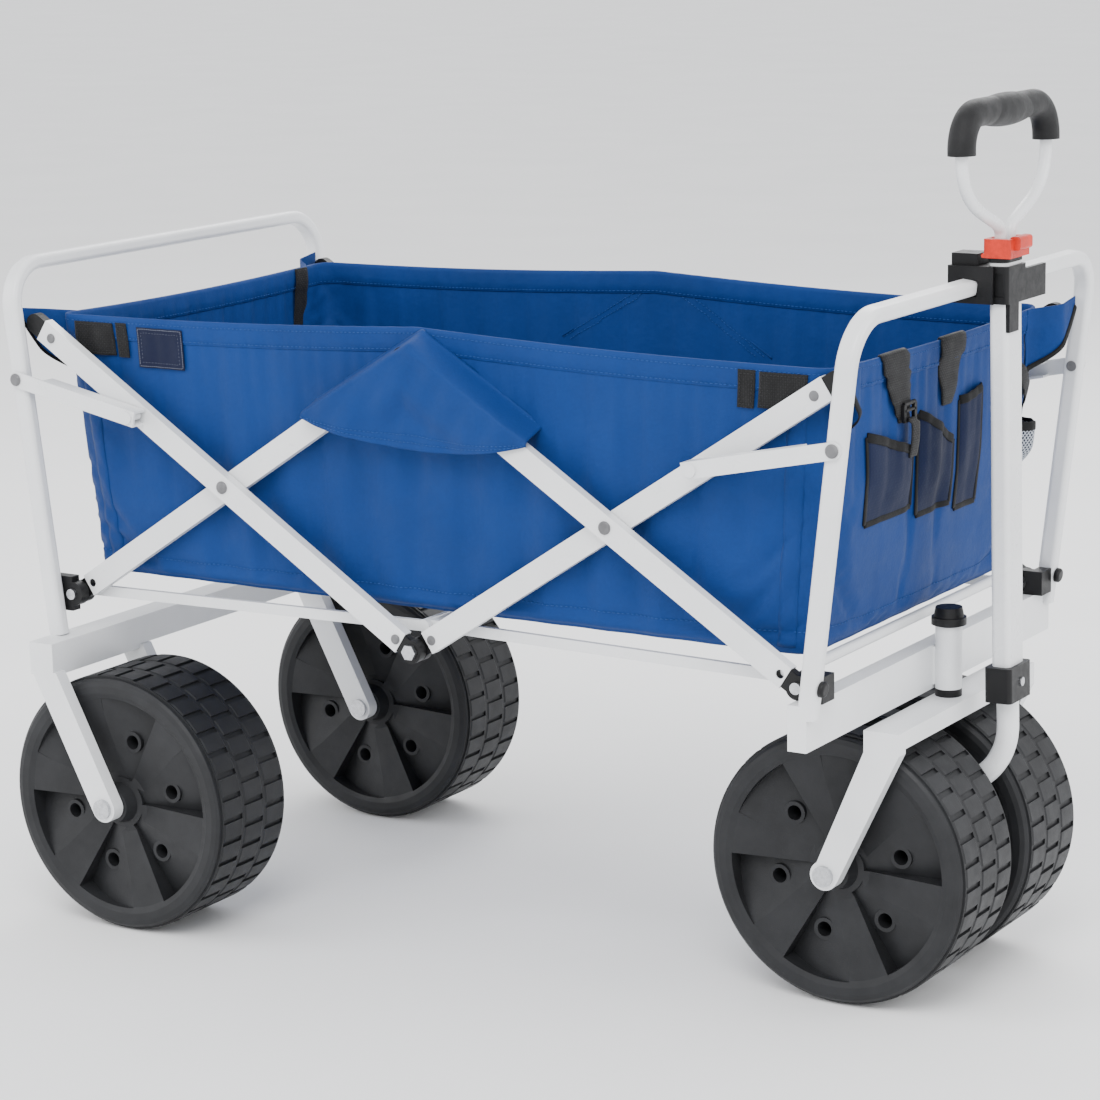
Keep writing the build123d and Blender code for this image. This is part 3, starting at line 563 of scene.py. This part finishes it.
def finer(grid, wrap):
    """A grid with twice as many points each way; wrap closes it along its first axis."""
    grid = refine(grid, wrap)
    return np.swapaxes(refine(np.swapaxes(grid, 0, 1), False), 0, 1)


rest_wall = wall_grid()
wall = drape(rest_wall)
wall = finer(hold_in(wall, rest_wall), True)
wall_n = grid_normals(wall, True)
WU, WV = wall.shape[:2]
if wall_n[0, WV // 2, 1] > 0:
    wall_n = -wall_n
LEDGE_ROWS = 6  # the refined wall's lowest rows, in the ledge, where on_wall never looks


def on_wall(u, z, lift=0.0):
    """Point of the draped wall at place u round the tub (0 to 1) and height z, lifted outwards."""
    column = u * WU
    i = int(math.floor(column)) % WU
    j = (i + 1) % WU
    part = column - math.floor(column)
    line = wall[i] * (1 - part) + wall[j] * part
    normals = wall_n[i] * (1 - part) + wall_n[j] * part
    heights = line[LEDGE_ROWS:, 2]
    k = int(np.clip(np.searchsorted(heights, z), 1, len(heights) - 1)) + LEDGE_ROWS
    share = np.clip((z - line[k - 1, 2]) / max(line[k, 2] - line[k - 1, 2], 1e-6), 0, 1)
    point = line[k - 1] * (1 - share) + line[k] * share
    n = normals[k - 1] * (1 - share) + normals[k] * share
    return point + n / np.linalg.norm(n) * lift


def place_u(x, y):
    """Place round the tub whose rim is nearest to x, y."""
    rim = wall[:, -1, 0:2]
    d = (rim[:, 0] - x) ** 2 + (rim[:, 1] - y) ** 2
    return float(np.argmin(d)) / WU


def side_u(x, sy):
    """Place round the tub for a distance along its far (1) or near (-1) side."""
    return place_u(x, sy * TUB_Y1)


def end_u(y, sx):
    """Place round the tub for a distance across its front (1) or rear (-1) end."""
    return place_u(sx * TUB_X1, y)


def patch_grid(u0, u1, bottom, top, nu, nv, lift):
    """Grid over part of the wall: bottom and top give heights for a share from 0 to 1 across."""
    grid = np.zeros((nu, nv, 3))
    for i in range(nu):
        s = i / (nu - 1)
        low, high = bottom(s), top(s)
        for k in range(nv):
            t = k / (nv - 1)
            grid[i, k] = on_wall(u0 + (u1 - u0) * s, low + (high - low) * t, lift(s, t))
    return grid


def stitches(name, path, material, pitch=4.6, length=3.1, radius=0.42):
    """Row of stitches along a path of points in millimetres: each a small six-sided lozenge."""
    path = np.array(path)
    steps = np.linalg.norm(np.diff(path, axis=0), axis=1)
    total = np.concatenate([[0], np.cumsum(steps)])
    points, faces = [], []
    for number in range(int(total[-1] / pitch)):
        a = number * pitch
        ends = [np.array([np.interp(x, total, path[:, d]) for d in range(3)]) for x in (a, a + length)]
        axis = ends[1] - ends[0]
        size = np.linalg.norm(axis)
        if size < 1e-3:
            continue
        axis /= size
        side = np.cross(axis, (0.31, 0.17, 0.93))
        side /= np.linalg.norm(side)
        other = np.cross(axis, side)
        base = len(points)
        points.append(ends[0])
        for share in (0.22, 0.78):
            centre = ends[0] + (ends[1] - ends[0]) * share
            for q in range(6):
                t = q * math.pi / 3
                points.append(centre + (side * math.cos(t) + other * math.sin(t)) * radius)
        points.append(ends[1])
        for q in range(6):
            r = (q + 1) % 6
            faces.append((base, base + 1 + q, base + 1 + r))
            faces.append((base + 1 + q, base + 7 + q, base + 7 + r, base + 1 + r))
            faces.append((base + 7 + q, base + 13, base + 7 + r))
    return new_object(name, to_metres(points), faces, material)


def ring_path(z_at, lift, steps=600):
    """Path right round the draped wall, at the height that z_at gives for each place."""
    return [on_wall(i / steps, z_at(i / steps), lift) for i in range(steps + 1)]


def make_tub():
    """The wall itself, its rim hem, seams and their stitching."""
    body = cloth_piece("tub_wall", wall, CLOTH_T, blue_cloth, wrap=True)
    ride_tub(body)
    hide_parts("tub")
    hem = rim_hem()
    seams = [corner_seam(sx, sy) for sx in (-1, 1) for sy in (-1, 1)]
    rows = []
    for number, (lift, drop) in enumerate(((2.0, 19.0), (2.0, 4.5), (-2.0, 19.0))):
        path = ring_path(lambda u: rim_top(u) - drop, lift)
        rows.append(stitches(f"rim_stitch_{number}", path, blue_thread))
    rows.append(stitches("foot_stitch", ring_path(lambda u: 363.0, 1.1), blue_thread))
    for piece in (hem, *seams, *rows):
        ride_tub(piece)


def rim_top(u):
    """Height of the draped wall's rim at place u."""
    i = int(u * WU) % WU
    return wall[i, -1, 2]


def rim_hem():
    """Turned hem round the rim: cloth folded over the edge, puckered by its stitching."""
    profile = [(1.0, -22), (1.75, -21), (1.8, -12), (1.75, -3), (1.3, 0.2), (0, 1.2),
               (-1.3, 0.2), (-1.75, -3), (-1.8, -12), (-1.75, -21), (-1.0, -22)]
    count = 720
    grid = np.zeros((count, len(profile), 3))
    for i in range(count):
        u = i / count
        top = rim_top(u)
        pucker = 0.22 * math.sin(i * 2.1) + 0.15 * math.sin(i * 0.83)
        for k, (lift, drop) in enumerate(profile):
            point = on_wall(u, top + min(drop, 0), 0.0)
            outward = on_wall(u, top + min(drop, 0), 1.0) - point
            amount = lift + math.copysign(pucker * 0.6, lift) if -21 < drop < -2 else lift
            grid[i, k] = point + outward * amount
            grid[i, k, 2] += max(drop, 0)
    nv = len(profile)
    faces = []
    for i in range(count):
        a, b = i * nv, ((i + 1) % count) * nv
        for k in range(nv):
            r = (k + 1) % nv
            faces.append((a + k, b + k, b + r, a + r))
    return new_object("rim_hem", to_metres(grid.reshape(-1, 3)), faces, blue_cloth)


def corner_seam(sx, sy):
    """Felled seam up a corner of the tub."""
    u = place_u(sx * (TUB_X1 - 30), sy * TUB_Y1)
    width = 0.0035
    grid = patch_grid(u - width, u + width, lambda s: 350, lambda s: 572, 5, 60,
                      lambda s, t: 0.8 + 0.9 * math.sin(math.pi * s) + 0.15 * math.sin(t * 160))
    return cloth_piece(f"corner_seam_{corner_word(sx, sy)}", grid, 0.7, blue_cloth)


# ------------------------------------------------------------------ flaps and patches

FLAP_APEX = (8.0, 605.0)  # x, z
FLAP_CORNERS = ((-113.0, 534.0), (131.0, 526.0))
FLAP_END = 15.0  # height of the flap at its corners
FLAP_LOW = 497.0  # lowest point of its open edge
FLAP_OUT = 247.0  # how far out it stands over the bars
FLAP_SLOPE = math.radians(33)
BAR_EDGE_Z, BAR_FALL = 560.0, 0.647  # under the short bars: height at the middle, fall for each mm along


def flap_edge(s):
    """Upper and lower edge of a centre flap at share s across it: x, top z, low z."""
    (x0, z0), (x1, z1) = FLAP_CORNERS
    x = x0 + (x1 - x0) * s
    if x < FLAP_APEX[0]:
        top = z0 + (FLAP_APEX[1] - z0) * (x - x0) / (FLAP_APEX[0] - x0)
    else:
        top = FLAP_APEX[1] + (z1 - FLAP_APEX[1]) * (x - FLAP_APEX[0]) / (x1 - FLAP_APEX[0])
    chord = z0 + (z1 - z0) * s - FLAP_END
    belly = (FLAP_LOW - (z0 + z1) / 2 + FLAP_END) * math.sin(math.pi * s) ** 0.85
    return x, top, chord + belly


def flap_grid(sy, count=61, rows=31):
    """Tent of cloth over a top centre pivot: sewn to the wall above, open below."""
    grid = np.zeros((count, rows, 3))
    for i in range(count):
        s = i / (count - 1)
        x, top, low = flap_edge(s)
        tall = top - low
        for k in range(rows):
            t = k / (rows - 1)
            z = top - tall * t
            wall_y = TUB_Y0 + (TUB_Y1 - TUB_Y0) * wall_share(z) + 0.6
            rise = smooth_step((top - z) * math.cos(FLAP_SLOPE) / 11.0)
            below = BAR_EDGE_Z - abs(x) * BAR_FALL - z
            sag = 9.0 * smooth_step(below / 32.0) * math.sin(math.pi * s) ** 2
            fold = 0.9 * math.sin(x * 0.085 + z * 0.05) + 0.7 * math.sin(x * 0.19 - z * 0.11 + 1.3)
            fold *= smooth_step((top - z) / 30.0)
            ends = 3.0 * (1 - smooth_step(min(s, 1 - s) / 0.12))
            y = wall_y + (FLAP_OUT - ends - wall_y) * rise - sag + min(fold, 0.9)
            grid[i, k] = (x, sy * y, z)
    return grid


def flap_seam(sy, first, last, drop):
    """Path of a stitch row inside the tub, along the line where a flap is sewn on."""
    path = []
    for share in np.linspace(first, last, 60):
        x, top, _ = flap_edge(share)
        path.append(on_wall(side_u(x, sy), top - drop, -LINE_LIFT))
    return path


def make_flaps():
    """The two centre flaps, each with three rows of stitches on it and two inside the tub."""
    for sy, word in ((-1, "near"), (1, "far")):
        grid = finer(flap_grid(sy), False)
        flap = cloth_piece(f"centre_flap_{word}", grid, 1.3, blue_cloth)
        ride_tub(flap)
        if sy < 0:
            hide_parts("centre_flaps")
        nu, nv = grid.shape[:2]
        out = np.array([0, sy * 0.9, 0])
        hem_line = [grid[i, nv - 5] + out for i in range(nu)]
        second = [grid[i, nv - 9] + out for i in range(4, nu - 4)]
        seam = [grid[i, 4] + out for i in range(nu)]
        inner = flap_seam(sy, 0, 1, 2.0)
        below = flap_seam(sy, 0.04, 0.96, 9.0)
        for number, path in enumerate((hem_line, second, seam, inner, below)):
            row = stitches(f"flap_stitch_{word}_{number}", path, blue_thread, 4.2, 2.9, 0.38)
            ride_tub(row)


def flat_patch(name, u0, u1, z0, z1, lift, material, thickness=0.9, puff=0.0):
    """Rectangle of cloth sewn to the wall, puffed out a little between its edges."""
    def height(s, t):
        return lift + puff * math.sin(math.pi * s) ** 0.5 * math.sin(math.pi * t) ** 0.5

    grid = patch_grid(u0, u1, lambda s: z0, lambda s: z1, 25, 21, height)
    return cloth_piece(name, grid, thickness, material)


TUB_ROUND = 2500.0  # about the length round the rim


def outline_path(u0, u1, z0, z1, lift, inset):
    """Closed path round a patch, drawn in by inset millimetres."""
    du = inset / TUB_ROUND * (1 if u1 > u0 else -1)
    a, b, c, d = u0 + du, u1 - du, z0 + inset, z1 - inset
    corners = [(a, c), (b, c), (b, d), (a, d), (a, c)]
    path = []
    for (ua, za), (ub, zb) in zip(corners, corners[1:]):
        for step in range(12):
            share = step / 12
            path.append(on_wall(ua + (ub - ua) * share, za + (zb - za) * share, lift))
    path.append(on_wall(a, c, lift))
    return path


TAB_X, BAND_X = (352, 396), (332, 346)  # along the side, from the middle of the tub
TAB_Z = (558, 589)


def make_corner_patches():
    """Webbing tabs that hold the cloth at the bars' upper ends, each with a narrow band beside it."""
    for sx in (-1, 1):
        for sy in (-1, 1):
            word = corner_word(sx, sy)
            z0, z1 = TAB_Z
            u0, u1 = (side_u(sx * x, sy) for x in TAB_X)
            patch = flat_patch(f"tab_{word}", u0, u1, z0, z1, 3.0, black_web, 1.1)
            ride_tub(patch)
            if sx < 0 and sy < 0:
                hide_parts("corner_patches")
            v0, v1 = (side_u(sx * x, sy) for x in BAND_X)
            band = flat_patch(f"tab_band_{word}", v0, v1, z0 - 1, z1 + 1, 2.8, black_web, 1.1)
            ride_tub(band)
            for number, (a, b) in enumerate(((u0, u1), (v0, v1))):
                row = stitches(f"tab_stitch_{word}_{number}", outline_path(a, b, z0, z1, 3.7, 2.4),
                               dark_thread, 3.4, 2.4, 0.3)
                ride_tub(row)


BADGE_X = (-322, -266)
BADGE_Z = (549, 587)


def make_badge():
    """Plain stitched patch near the rear corner, with a woven border and no marks."""
    u0, u1 = (side_u(x, -1) for x in BADGE_X)
    z0, z1 = BADGE_Z
    patch = flat_patch("side_patch", u0, u1, z0, z1, 2.8, navy_cloth, 0.9, 0.25)
    ride_tub(patch)
    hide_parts("side_badge")
    edge = outline_path(u0, u1, z0, z1, 3.3, 1.4)
    border = stitches("side_patch_border", edge, pale_thread, 2.2, 1.9, 0.42)
    line = outline_path(u0, u1, z0, z1, 3.45, 5.0)
    inner = stitches("side_patch_inner", line, pale_thread, 3.4, 1.6, 0.22)
    for piece in (border, inner):
        ride_tub(piece)


# ------------------------------------------------------------------ front wall


TRIM_SHAPE = [(-1, 0.15), (-0.82, 1), (-0.3, 1.15), (0.3, 1.15),
              (0.82, 1), (1, 0.15), (0.8, -0.4), (-0.8, -0.4)]  # across, out
RIBBON_SHAPE = [(-1, 0), (-0.93, 0.5), (-0.5, 0.58), (0, 0.6), (0.5, 0.58), (0.93, 0.5),
                (1, 0), (0.93, -0.5), (0, -0.6), (-0.93, -0.5)]
STRAP_OFF = 2.9  # rim straps' middle stands this far off the wall's middle
STRAP_TAPER = ([0, 12, 17, 24, 32], [36, 46, 54, 44, 20])  # steps along a rim strap, widths there
POCKETS = [  # name, y from and to, height of the foot, of the upper edge at each end, bulge
    ("mesh_pocket_left", -150, -48, 448, 526, 497, 6.5),
    ("mesh_pocket_middle", -41, 30, 438, 530, 496, 5.5),
    ("mesh_pocket_pole", 44, 86, 430, 530, 536, 5.0),
    ("cup_net", 152, 204, 438, 490, 486, 15.0),
]


def trim(name, path, width, thickness, material, outward=(1, 0, 0.06)):
    """Flat binding that follows a path on an end wall: width across the path, thickness outwards."""
    path = np.array(path)
    out = unit(np.array(outward, float))
    across = unit(np.cross(unit(np.gradient(path, axis=0)), out))
    rings = [[p + side * a * width / 2 + out * b * thickness for a, b in TRIM_SHAPE]
             for p, side in zip(path, across)]
    return swept(name, rings, material)


def front_pocket(name, y0, y1, z0, top0, top1, bulge):
    """Pocket on the front wall: sewn on three sides, bulging, with a bound upper edge that slants."""
    def height(s, t):
        return 1.0 + bulge * math.sin(math.pi * s) ** 0.7 * smooth_step(t * 1.6)

    grid = patch_grid(end_u(y0, 1), end_u(y1, 1), lambda s: z0, lambda s: top0 + (top1 - top0) * s,
                      27, 23, height)
    pieces = net(name, grid) if name == "cup_net" else [cloth_piece(name, grid, 0.9, mesh_cloth)]
    edges = (("top", grid[:, -1] + (0.3, 0, 0), 8.5), ("left", grid[0] + (0.2, 0, 0), 6),
             ("right", grid[-1] + (0.2, 0, 0), 6), ("foot", grid[:, 0] + (0.2, 0, 0), 6))
    for word, path, width in edges:
        pieces.append(trim(f"{name}_{word}", path, width, 0.8, black_trim))
    for piece in pieces:
        ride_tub(piece)
    return pieces[0]


def cord(path, radius, base):
    """Points and faces of one thin five-sided cord; base is the number of its first point."""
    sides = 5
    path = np.array(path)
    side = unit(np.cross(unit(np.gradient(path, axis=0)), (1.0, 0.0, 0.0)))
    points, faces = [], []
    for at, across in zip(path, side):
        for q in range(sides):
            t = q * 2 * math.pi / sides
            points.append(at + across * radius * math.cos(t) + (radius * math.sin(t), 0, 0))
    for i in range(base, base + (len(path) - 1) * sides, sides):
        for q in range(sides):
            r = (q + 1) % sides
            faces.append((i + q, i + sides + q, i + sides + r, i + r))
    return points, faces


def net(name, grid):
    """Open net: slanting cords both ways over the pocket, on a thin lining. The lining comes first."""
    fine = finer(grid, False)
    columns, rows = fine.shape[:2]
    points, faces = [], []
    for start in range(-rows, columns, 4):
        for slant in (1, -1):
            places = [(start + k if slant > 0 else start + rows - k, k) for k in range(rows)]
            path = [fine[i, k] + (0.4, 0, 0) for i, k in places if 0 <= i < columns]
            if len(path) > 2:
                more_points, more_faces = cord(path, 0.55, len(points))
                points += more_points
                faces += more_faces
    lining = cloth_piece(name, grid - (0.6, 0, 0), 0.4, mesh_cloth)
    return [lining, new_object(name + "_cords", to_metres(points), faces, net_cord)]


def ribbon(name, path, width, thickness, wide=(0, 1, 0)):
    """Webbing along a path, with rounded edges. Its width lies along wide: one value, or one per point."""
    path = np.array(path, float)
    wide = unit(np.array(wide, float))
    out = unit(np.cross(unit(np.gradient(path, axis=0)), wide))
    widths = np.broadcast_to(width, len(path))
    rings = [[p + wide * a * w / 2 + normal * b * thickness for a, b in RIBBON_SHAPE]
             for p, normal, w in zip(path, out, widths)]
    obj = swept(name, rings, black_web)
    ride_tub(obj)
    return obj


def rim_strap_path(y, drop_in, drop_out, skew):
    """Path of a strap over the front rim, from inside the tub to outside it, slanting by skew."""
    u = end_u(y, 1)
    top = rim_top(u)
    crest = on_wall(u, top - 0.5, 0)
    path = []
    for step in range(12):
        z = top - drop_in + (drop_in - 3) * step / 11
        path.append(on_wall(end_u(y - skew * (top - z), 1), z, -STRAP_OFF))
    for angle in (150, 120, 90, 60, 30):
        a = math.radians(angle)
        path.append(crest + (STRAP_OFF * math.cos(a), 0, STRAP_OFF * math.sin(a)))
    for step in range(16):
        z = top - 3 - (drop_out - 3) * step / 15
        path.append(on_wall(end_u(y + skew * (top - z), 1), z, 3.1 + 0.8 * math.sin(step * 0.7)))
    return path


def buckle(name, centre, width, height):
    """Ladder-lock buckle: a rounded frame with a bar across its middle."""
    bars = [(0, height / 2, width, 3.4), (0, -height / 2, width, 3.4), (0, 1.5, width, 3.0),
            (-width / 2, 0, 3.2, height), (width / 2, 0, 3.2, height)]
    bm = bmesh.new()
    for dy, dz, wide, tall in bars:
        made = bmesh.ops.create_cube(bm, size=1.0)["verts"]
        for v in made:
            v.co = Vector((v.co.x * 3.2, v.co.y * (wide + 3.0) + dy, v.co.z * tall + dz))
    bmesh.ops.bevel(bm, geom=list(bm.edges), offset=0.7, segments=2, affect="EDGES")
    for v in bm.verts:
        v.co = Vector(put(centre[0] + v.co.x, centre[1] + v.co.y, centre[2] + v.co.z))
    mesh = bpy.data.meshes.new(name)
    bm.to_mesh(mesh)
    bm.free()
    ride_tub(link_mesh(name, mesh, black_plastic))


def make_pockets():
    """Three mesh pockets and the netted cup holder, on the outside of the front wall."""
    pockets = [front_pocket(*row) for row in POCKETS]
    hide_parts("front_pockets")


def make_rim_straps():
    """Two tapered straps over the front rim, one with a buckle and a loose tail."""
    widths = np.interp(np.arange(33), *STRAP_TAPER)
    straps = [ribbon("rim_strap_left", rim_strap_path(-98, 34, 62, 0.30), widths, 1.8),
              ribbon("rim_strap_middle", rim_strap_path(20, 34, 60, -0.05), widths, 1.8)]
    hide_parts("rim_straps")
    buckle("rim_buckle", on_wall(end_u(-74, 1), 538, 5.4), 21, 15)
    tail = [on_wall(end_u(-73 + 4 * s, 1), 533 - 36 * s, 9.0 - 2.0 * s + 1.6 * math.sin(3 * s))
            for s in np.linspace(0, 1, 14)]
    tail_piece = ribbon("rim_strap_tail", tail, 16, 1.3)


def make_loose_straps():
    """A slanting strap over the cup holder, and one that hangs inside the rear wall."""
    slant = [on_wall(end_u(140 + 62 * s, 1), 560 - 54 * s, 2.4 + 2.5 * math.sin(math.pi * s))
             for s in np.linspace(0, 1, 22)]
    slanted = ribbon("cup_strap", slant, 18, 1.5, wide=(0, 0.55, 0.83))
    inner = [on_wall(end_u(176, -1), 596 - 78 * s, -2.2 - 1.4 * math.sin(5 * s))
             for s in np.linspace(0, 1, 22)]
    hanging = ribbon("inner_strap", inner, 22, 1.3)


# ------------------------------------------------------------------ corner ears

EAR_X, EAR_Y, EAR_Z = 442.0, 240.3, 602.0  # the upper corner at the hoop's leg
EAR_ROOT_Y = 186.0  # where an ear leaves the end wall
EAR_ROOT_Z, EAR_CUT = 534.0, 58.0  # its lowest point there, and the slant's rise from it


def ear_grid(sx, sy, nu=31, nv=25):
    """Corner of the cloth pulled out past the bar's cap to the hoop's leg, cut away below on a slant."""
    grid = np.zeros((nu, nv, 3))
    for i in range(nu):
        s = i / (nu - 1)
        y = EAR_ROOT_Y + (EAR_Y - EAR_ROOT_Y) * s
        low = EAR_ROOT_Z + EAR_CUT * s ** 1.25
        high = RIM_CORNER_Z - 0.5 + (EAR_Z - RIM_CORNER_Z) * s
        out = smooth_step(s / 0.55)
        for k in range(nv):
            t = k / (nv - 1)
            z = low + (high - low) * t
            if y < 200:
                base = abs(on_wall(end_u(sy * y, sx), z, 1.6)[0])
            else:
                base = TUB_X0 + (TUB_X1 - TUB_X0) * wall_share(z) + 1.6
            puff = 0.8 * math.sin(9 * s + 5 * t) * s * (1 - s)
            grid[i, k] = (sx * (base + (EAR_X - base) * out + puff), sy * y, z)
    return grid


def make_ears():
    """The four ears, each bound in black along its slanting cut."""
    for sx in (-1, 1):
        for sy in (-1, 1):
            word = corner_word(sx, sy)
            grid = ear_grid(sx, sy)
            ear = cloth_piece(f"corner_ear_{word}", grid, 1.2, blue_cloth)
            ride_tub(ear)
            edge = trim(f"ear_binding_{word}", grid[:, 0] + (sx * 0.5, 0, 0), 6.5, 1.0, black_trim,
                        outward=(sx, 0, 0))
            ride_tub(edge)


# ------------------------------------------------------------------ floor mat


MAT_N = 57  # points each way over a mat


def mat_face(low, high, up):
    """Upper (1) or lower (-1) face of a quilted mat that fills the box from low to high."""
    x0, x1, y1 = low[0] + 1, high[0] - 1, high[1] - 1
    middle, half = (low[2] + high[2]) / 2, (high[2] - low[2]) / 2 - 0.6
    grid = np.zeros((MAT_N, MAT_N, 3))
    for i in range(MAT_N):
        for k in range(MAT_N):
            s, t = i / (MAT_N - 1), k / (MAT_N - 1)
            puff = smooth_step(min(s, 1 - s, t, 1 - t) / 0.035)
            quilt = abs(math.sin(math.pi * s * 2)) ** 0.35 * abs(math.sin(math.pi * t * 2)) ** 0.35
            z = middle + up * half * (0.25 + 0.75 * puff * (0.8 + 0.2 * quilt))
            grid[i, k] = (x0 + (x1 - x0) * s, -y1 + 2 * y1 * t, z)
    return grid


def pad_faces(n):
    """Faces of a closed pad whose upper and lower grids both have n by n points."""
    back = n * n
    faces = []
    for i in range(n - 1):
        for k in range(n - 1):
            a, b, c, d = i * n + k, (i + 1) * n + k, (i + 1) * n + k + 1, i * n + k + 1
            faces += [(a, b, c, d), (back + d, back + c, back + b, back + a)]
    ring = [i * n for i in range(n)] + [(n - 1) * n + k for k in range(1, n)]
    ring += [i * n + n - 1 for i in range(n - 2, -1, -1)] + list(range(n - 2, 0, -1))
    for a, b in zip(ring, ring[1:] + ring[:1]):
        faces.append((a, b, back + b, back + a))
    return faces


def make_mats():
    """Padded folding floor: two covered boards that rise with the rails."""
    for word in ("rear", "front"):
        low, high = (np.array(end) * 1000 + (SHIFT_X, 0, 0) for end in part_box(f"floor_mat_{word}"))
        points = np.concatenate([mat_face(low, high, up).reshape(-1, 3) for up in (1, -1)])
        mat = new_object(f"floor_pad_{word}", to_metres(points), pad_faces(MAT_N), blue_lining)
        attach(mat, f"rails_{word}")
        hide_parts(f"floor_mat_{word}")


# ------------------------------------------------------------------ CAD nodes' materials


def paint(material, *names):
    """Gives CAD nodes a material, on the object so that the mesh stays as it is."""
    for name in names:
        obj = NODES[name]
        for place in obj.material_slots:
            place.link = "OBJECT"
            place.material = material


def paint_nodes():
    paint(frame_paint, "rear_hoop", "rear_beam", "rear_forks", "rear_cross_tube", "front_hoop", "front_beam",
          "kingpin_post", "front_cross_tube", "front_fork")
    paint(bar_paint, "bars_a", "bars_b", "bars_c", "bars_d", "rear_struts", "front_struts", "rear_rails",
          "front_rails")
    paint(handle_paint, "handle_stem", "handle_tube", "handle_rods")
    paint(black_plastic, "rear_brackets", "front_brackets", "bar_a_ends", "bar_b_ends", "bar_c_ends",
          "bar_d_ends", "handle_clip", "handle_collar", "handle_cap", "handle_tongue", "kingpin_cap",
          "kingpin_washer")
    paint(black_steel, "bar_a_rivets", "bar_b_rivets", "bar_c_rivets", "bar_d_rivets", "rear_strut_pins",
          "front_strut_pins")
    paint(bright_steel, "rear_pivot_bolts", "front_pivot_bolts", "centre_bolts", "top_bolts", "rear_axles",
          "front_axle", "kingpin", "collar_rivet")
    paint(wheel_mat, "rear_wheel_near", "rear_wheel_far", "front_wheel_near", "front_wheel_far")
    paint(red_plastic, "latch_lever")
    paint(grip_mat, "handle_grip")


# ------------------------------------------------------------------ studio

CAMERA_AT = (1639.36, -2620.23, 1018.80)
CAMERA_AZ, CAMERA_EL, CAMERA_ROLL = math.radians(31.96), math.radians(12.02), math.radians(-1.10)
FLOOR_HALF = 60.0  # metres
LIGHTS = [  # name, place, target, size, power; metres and watts
    ("key", (1.2, -2.6, 3.2), (0, 0, 0.35), 2.2, 110),
    ("fill", (-2.8, -2.2, 1.8), (0, 0, 0.35), 2.4, 42),
    ("back", (-0.8, 2.8, 2.8), (0, 0, 0.4), 2.2, 60),
    ("front", (3.2, 0.6, 1.8), (0.2, 0, 0.35), 2.0, 38),
]


def make_camera():
    """Camera turned by its azimuth, elevation and roll towards the cart."""
    az, el = CAMERA_AZ, CAMERA_EL
    forward = Vector((-math.sin(az) * math.cos(el), math.cos(az) * math.cos(el), -math.sin(el)))
    right = Vector((math.cos(az), math.sin(az), 0))
    up = right.cross(forward)
    r = right * math.cos(CAMERA_ROLL) + up * math.sin(CAMERA_ROLL)
    u = up * math.cos(CAMERA_ROLL) - right * math.sin(CAMERA_ROLL)
    camera = bpy.data.cameras.new("camera")
    camera.lens = 106.65
    camera.sensor_width = 36
    camera.shift_x = -0.0023
    camera.shift_y = -0.0013
    camera.dof.use_dof = False
    obj = bpy.data.objects.new("camera", camera)
    turn = Matrix((r, u, -forward)).transposed().to_4x4()
    obj.matrix_world = Matrix.Translation(put(*CAMERA_AT)) @ turn
    bpy.context.scene.collection.objects.link(obj)
    bpy.context.scene.camera = obj


def soft_light(name, place, target, size, power):
    light = bpy.data.lights.new(name, "AREA")
    light.shape = "DISK"
    light.size = size
    light.energy = power
    obj = bpy.data.objects.new(name, light)
    obj.location = place
    obj.rotation_euler = (Vector(target) - Vector(place)).to_track_quat("-Z", "Y").to_euler()
    bpy.context.scene.collection.objects.link(obj)


def make_studio():
    """Pale floor, even pale sky and four soft lights."""
    mesh = bpy.data.meshes.new("studio_floor")
    h = FLOOR_HALF
    mesh.from_pydata([(-h, -h, 0), (h, -h, 0), (h, h, 0), (-h, h, 0)], [], [(0, 1, 2, 3)])
    floor = link_mesh("studio_floor", mesh, floor_material())
    floor.location.z = -0.0008
    world = bpy.data.worlds.new("studio")
    world.use_nodes = True
    sky = world.node_tree.nodes["Background"].inputs
    sky["Color"].default_value = (0.97, 0.98, 1.0, 1.0)
    sky["Strength"].default_value = 1.5
    bpy.context.scene.world = world
    for row in LIGHTS:
        soft_light(*row)


make_tub()
make_flaps()
make_corner_patches()
make_badge()
make_pockets()
make_rim_straps()
make_loose_straps()
make_ears()
make_mats()
paint_nodes()
make_camera()
make_studio()
